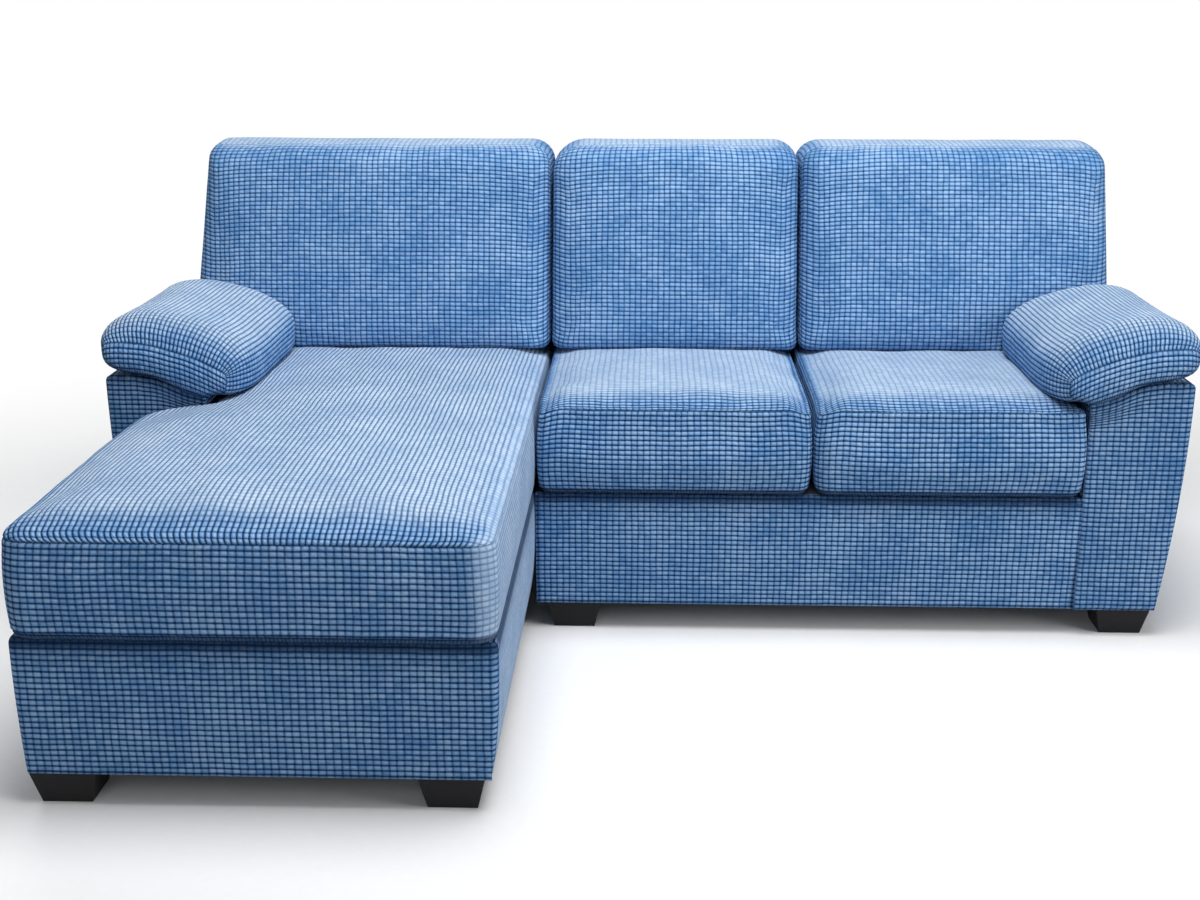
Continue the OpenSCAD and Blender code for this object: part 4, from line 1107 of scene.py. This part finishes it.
lining = plain_weave("felt_lining", (0.055, 0.065, 0.085), (0.11, 0.12, 0.15), 0.0016)
finishes = {
    "timber": timber("pine", (0.62, 0.42, 0.22), (0.38, 0.20, 0.08), (1, 1, 9)),
    "plywood": timber("birch_plywood", (0.70, 0.52, 0.32), (0.50, 0.32, 0.16), (3, 3, 14)),
    "foam": foam(), "steel": steel(), "zip": zip_tape(), "foot": foot_plastic(),
    "lining": lining, "upholstery": check,
}
slot_of = {part["node"]: part["material_slot"] for part in frame["record"]["subparts"]}
for name, node in frame["nodes"].items():
    for slot in node.material_slots:
        slot.material = finishes[slot_of[name]]
print(len(frame["nodes"]), "nodes in", len(finishes), "finishes")

# %% [markdown]
# Light is painted on this cloth: it is painted paler where it faces the light from above and on
# the chaise's open side, a painted highlight and sheen. Each point keeps this painted light as an
# attribute, worked out from its normal. Two more attributes, rows and columns, say how deep the
# grooves are there: pulled cloth keeps its ribs and loses the grooves that cross them. On most
# pieces the grooves are also made shallower where light is painted on.

# %% Arrays of a mesh
def arrays(mesh):
    """The points of a mesh and their normals."""
    found = []
    for key in ("co", "normal"):
        values = np.empty(len(mesh.vertices) * 3)
        mesh.vertices.foreach_get(key, values)
        found.append(values.reshape(-1, 3))
    return found


def eased(mesh, move, rounds):
    """Averages a movement over the mesh's edges."""
    ends = np.empty(len(mesh.edges) * 2, int)
    mesh.edges.foreach_get("vertices", ends)
    a, b = ends[::2], ends[1::2]
    many = np.bincount(ends, minlength=len(move))[:, None]
    for _ in range(rounds):
        total = np.zeros_like(move)
        np.add.at(total, a, move[b])
        np.add.at(total, b, move[a])
        move = 0.5 * move + 0.5 * total / many
    return move


# %% Dress the soft pieces
seats = [left_seat, right_seat, chaise_seat]
backs = [middle_back, right_back, left_back]
pillows = [right_pillow, left_pillow]
cushions = seats + backs + pillows
soft = cushions + [love_band, chaise_right, chaise_left, chaise_band, *arms, love_rear,
                   chaise_rear, love_lean, chaise_lean]
pads = [love_pad, chaise_pad]
# How much light is painted at most on faces that turn up.
PAINTED_LIGHT_MOST = 0.9


def give_painted_light(piece):
    """Says how much light is painted on the cloth and how deep its grooves are, point by point."""
    co, no = arrays(piece.data)
    y = co[:, 1] / MM
    # Painted light: faces that turn up are painted paler; on the seats it fades out near the front
    # edge.
    painted_light = PAINTED_LIGHT_MOST * smooth(0.93, 0.995, no[:, 2])
    if piece in seats:
        painted_light *= smooth(y.min() + 22, y.min() + 90, y)
    rows, columns = 1 - 0.7 * painted_light, 1 - 0.4 * painted_light
    if piece in pillows:
        # On the pillows the painted light covers the top but not faces turned to the front.
        painted_light = PAINTED_LIGHT_MOST * smooth(0.1, 0.85, no[:, 2]) * (1 - smooth(0.35, 0.75, -no[:, 1]))
        rows = np.ones_like(painted_light)
        columns = 1 - 0.8 * smooth(PILLOW_Y + 45, PILLOW_Y + 100, y)
    elif piece in backs:
        rows = np.full_like(painted_light, 0.45)
    elif piece in (chaise_seat, chaise_right):
        # Painted light on the chaise's side that faces the right lamp; the grooves are weaker
        # there.
        open_side = 0.78 * smooth(0.02, 0.45, no[:, 0])
        rows, columns = 1 - 0.8 * open_side, 1 - 0.75 * np.maximum(painted_light, open_side)
        painted_light = np.maximum(painted_light, open_side)
    for name, value in (("painted_light", painted_light), ("rows", rows), ("columns", columns)):
        layer = piece.data.attributes.new(name, "FLOAT", "POINT")
        layer.data.foreach_set("value", eased(piece.data, value[:, None], 3)[:, 0])


for piece in soft:
    piece.data.materials.append(check)
    give_painted_light(piece)
for piece in pads:
    piece.data.materials.append(lining)

# %% [markdown]
# Drawn forms are too even for stuffed cushions. Blender's Cloth gives each one
# what wadding does: it is blown up a little for twenty frames, without gravity,
# and pulls its own creases between its seams. Only a few millimetres of that
# movement are kept, fewer where a cushion meets its neighbour, and none
# underneath.

# %% Swell the cushions
FRAMES = 20
CLOTH = {"quality": 4, "use_pressure": True, "uniform_pressure_force": 4.0,
         "vertex_group_mass": "held", "tension_stiffness": 12.0,
         "compression_stiffness": 12.0, "bending_stiffness": 0.6}


def swollen(pieces):
    """Runs Cloth on copies of the pieces and returns how far each point moves."""
    copies = []
    for piece in pieces:
        twin = placed(piece.name + "_twin", piece.data.copy())
        under = np.flatnonzero(arrays(twin.data)[1][:, 2] < -0.7)
        twin.vertex_groups.new(name="held").add(under.tolist(), 1.0, "REPLACE")
        cloth = twin.modifiers.new("swell", "CLOTH")
        for key, value in CLOTH.items():
            setattr(cloth.settings, key, value)
        cloth.settings.effector_weights.gravity = 0.0
        cloth.collision_settings.use_collision = False
        cloth.point_cache.frame_start, cloth.point_cache.frame_end = 1, FRAMES
        copies.append(twin)
    for number in range(1, FRAMES + 1):
        scene.frame_set(number)
    graph = bpy.context.evaluated_depsgraph_get()
    moves = []
    for piece, twin in zip(pieces, copies):
        mesh = twin.evaluated_get(graph).to_mesh()
        moves.append(arrays(mesh)[0] - arrays(piece.data)[0])
        twin.evaluated_get(graph).to_mesh_clear()
        data = twin.data
        bpy.data.objects.remove(twin)
        bpy.data.meshes.remove(data)
    scene.frame_set(1)
    return moves


moves = swollen(cushions)

# %% [markdown]
# The kept movement is capped, eased over the mesh, and joined by the soft
# unevenness of the filling.

# %% Keep a little of the movement
TINY = 1e-9


def millimetres(moves):
    return round(float(np.linalg.norm(moves, axis=1).max()) / MM, 1)


for number, (piece, move) in enumerate(zip(cushions, moves)):
    most = 9 if piece in seats else 10 if piece in backs else 1.5
    co, no = arrays(piece.data)
    free = smooth(0.3, -0.2, no[:, 1]) if piece in backs else smooth(-0.3, 0.2, no[:, 2])
    if piece not in pillows:
        free *= 1 - 0.85 * smooth(0.6, 0.95, np.abs(no[:, 0]))
    free = eased(piece.data, free[:, None], 5)
    uneven = ripple(co, 0.16, number + 1) * 1.5 + ripple(co, 0.06, number + 11) * 0.35
    if piece in pillows:
        uneven *= 0.25
    step = no * (uneven[:, None] * free) * MM
    if move is not None:
        size = np.linalg.norm(move, axis=1, keepdims=True)
        cap = most * MM * free
        capped = cap * np.tanh(size / np.maximum(cap, TINY)) / np.maximum(size, TINY)
        kept = eased(piece.data, move * capped, 4)
        step += kept
        print(piece.name, "moved up to", millimetres(move), "kept up to", millimetres(kept), "mm")
    piece.data.vertices.foreach_set("co", (co + step).ravel())
    piece.data.update()

# %% [markdown]
# A pale floor carries the sofa. The camera sees white around it, while lights
# and reflections see the floor as it is.

# %% Floor and background
bpy.ops.object.select_all(action="DESELECT")
bpy.ops.mesh.primitive_circle_add(vertices=96, radius=9, fill_type="NGON", location=(0, 0, 0))
floor = bpy.context.object
floor.name = "floor"


def floor_finish():
    f = Finish("pale_floor")
    where = f.node("TexCoord", out=3)
    away = f.node("VectorMath", {0: where}, 1, operation="LENGTH")
    sight = f.seen()
    pale = f.blend(f.noise(where, 60.0, 3.0), (0.84, 0.84, 0.84), (0.88, 0.88, 0.88))
    matt = f.node("BsdfPrincipled", {"Base Color": f.blend(sight, (0.50, 0.50, 0.50), pale),
                                     "Roughness": 0.8})
    white = f.node("Emission", {"Strength": 1.0})
    far = f.step(away, 1.7, 3.2)
    return f.close(f.node("MixShader", {0: far * sight, 1: matt, 2: white}))


floor.data.materials.append(floor_finish())

# %% [markdown]
# The world is a plain bright room. Camera, mirror and glass rays see white.

# %% World
room = Finish("room", bpy.data.worlds)
dim = room.node("Background", {"Color": (0.93, 0.96, 1.0, 1.0), "Strength": 0.14})
white = room.node("Background", {"Color": (1, 1, 1, 1)})
both = room.node("MixShader", {0: room.seen(), 1: dim, 2: white})
scene.world = room.close(both, "OutputWorld")
print("world ready")

# %% [markdown]
# Four soft lamps: a large one overhead and in front, one low on the right that
# lights the chaise's side, a weak one from the camera's side, and one behind on
# the left, so the rear and the outside of the arm are lit too.

# %% Lamps
def lamp(name, place, aim, size, watts):
    data = bpy.data.lights.new(name, "AREA")
    data.shape, data.size, data.energy = "DISK", size, watts
    made = placed(name, data)
    made.location = place
    made.rotation_euler = (Vector(aim) - Vector(place)).to_track_quat("-Z", "Y").to_euler()


lamp("overhead", (0.2, -0.6, 3.6), (0, 0, 0.3), 2.4, 126)
lamp("right", (3.4, -1.8, 1.6), (0, 0, 0.3), 1.8, 62)
lamp("front", (-0.8, -4.4, 2.2), (0, 0, 0.4), 2.4, 25)
lamp("rear", (-2.6, 3.6, 2.0), (0, 0.3, 0.5), 2.4, 60)

# %% [markdown]
# The camera stands where lines fitted to the photograph put it: in front, at
# eye height, looking a little down.

# %% Camera
DOWN, TURN = 0.278, 0.033
camera = placed("camera", bpy.data.cameras.new("camera"))
camera.location = (0.013, -3.212, 1.300)
camera.rotation_euler = (math.pi / 2 - DOWN, 0, TURN)
camera.data.lens, camera.data.sensor_width = 48, 36
scene.camera = camera

# %% [markdown]
# Last, the view layer is brought up to date.

# %% Update
bpy.context.view_layer.update()
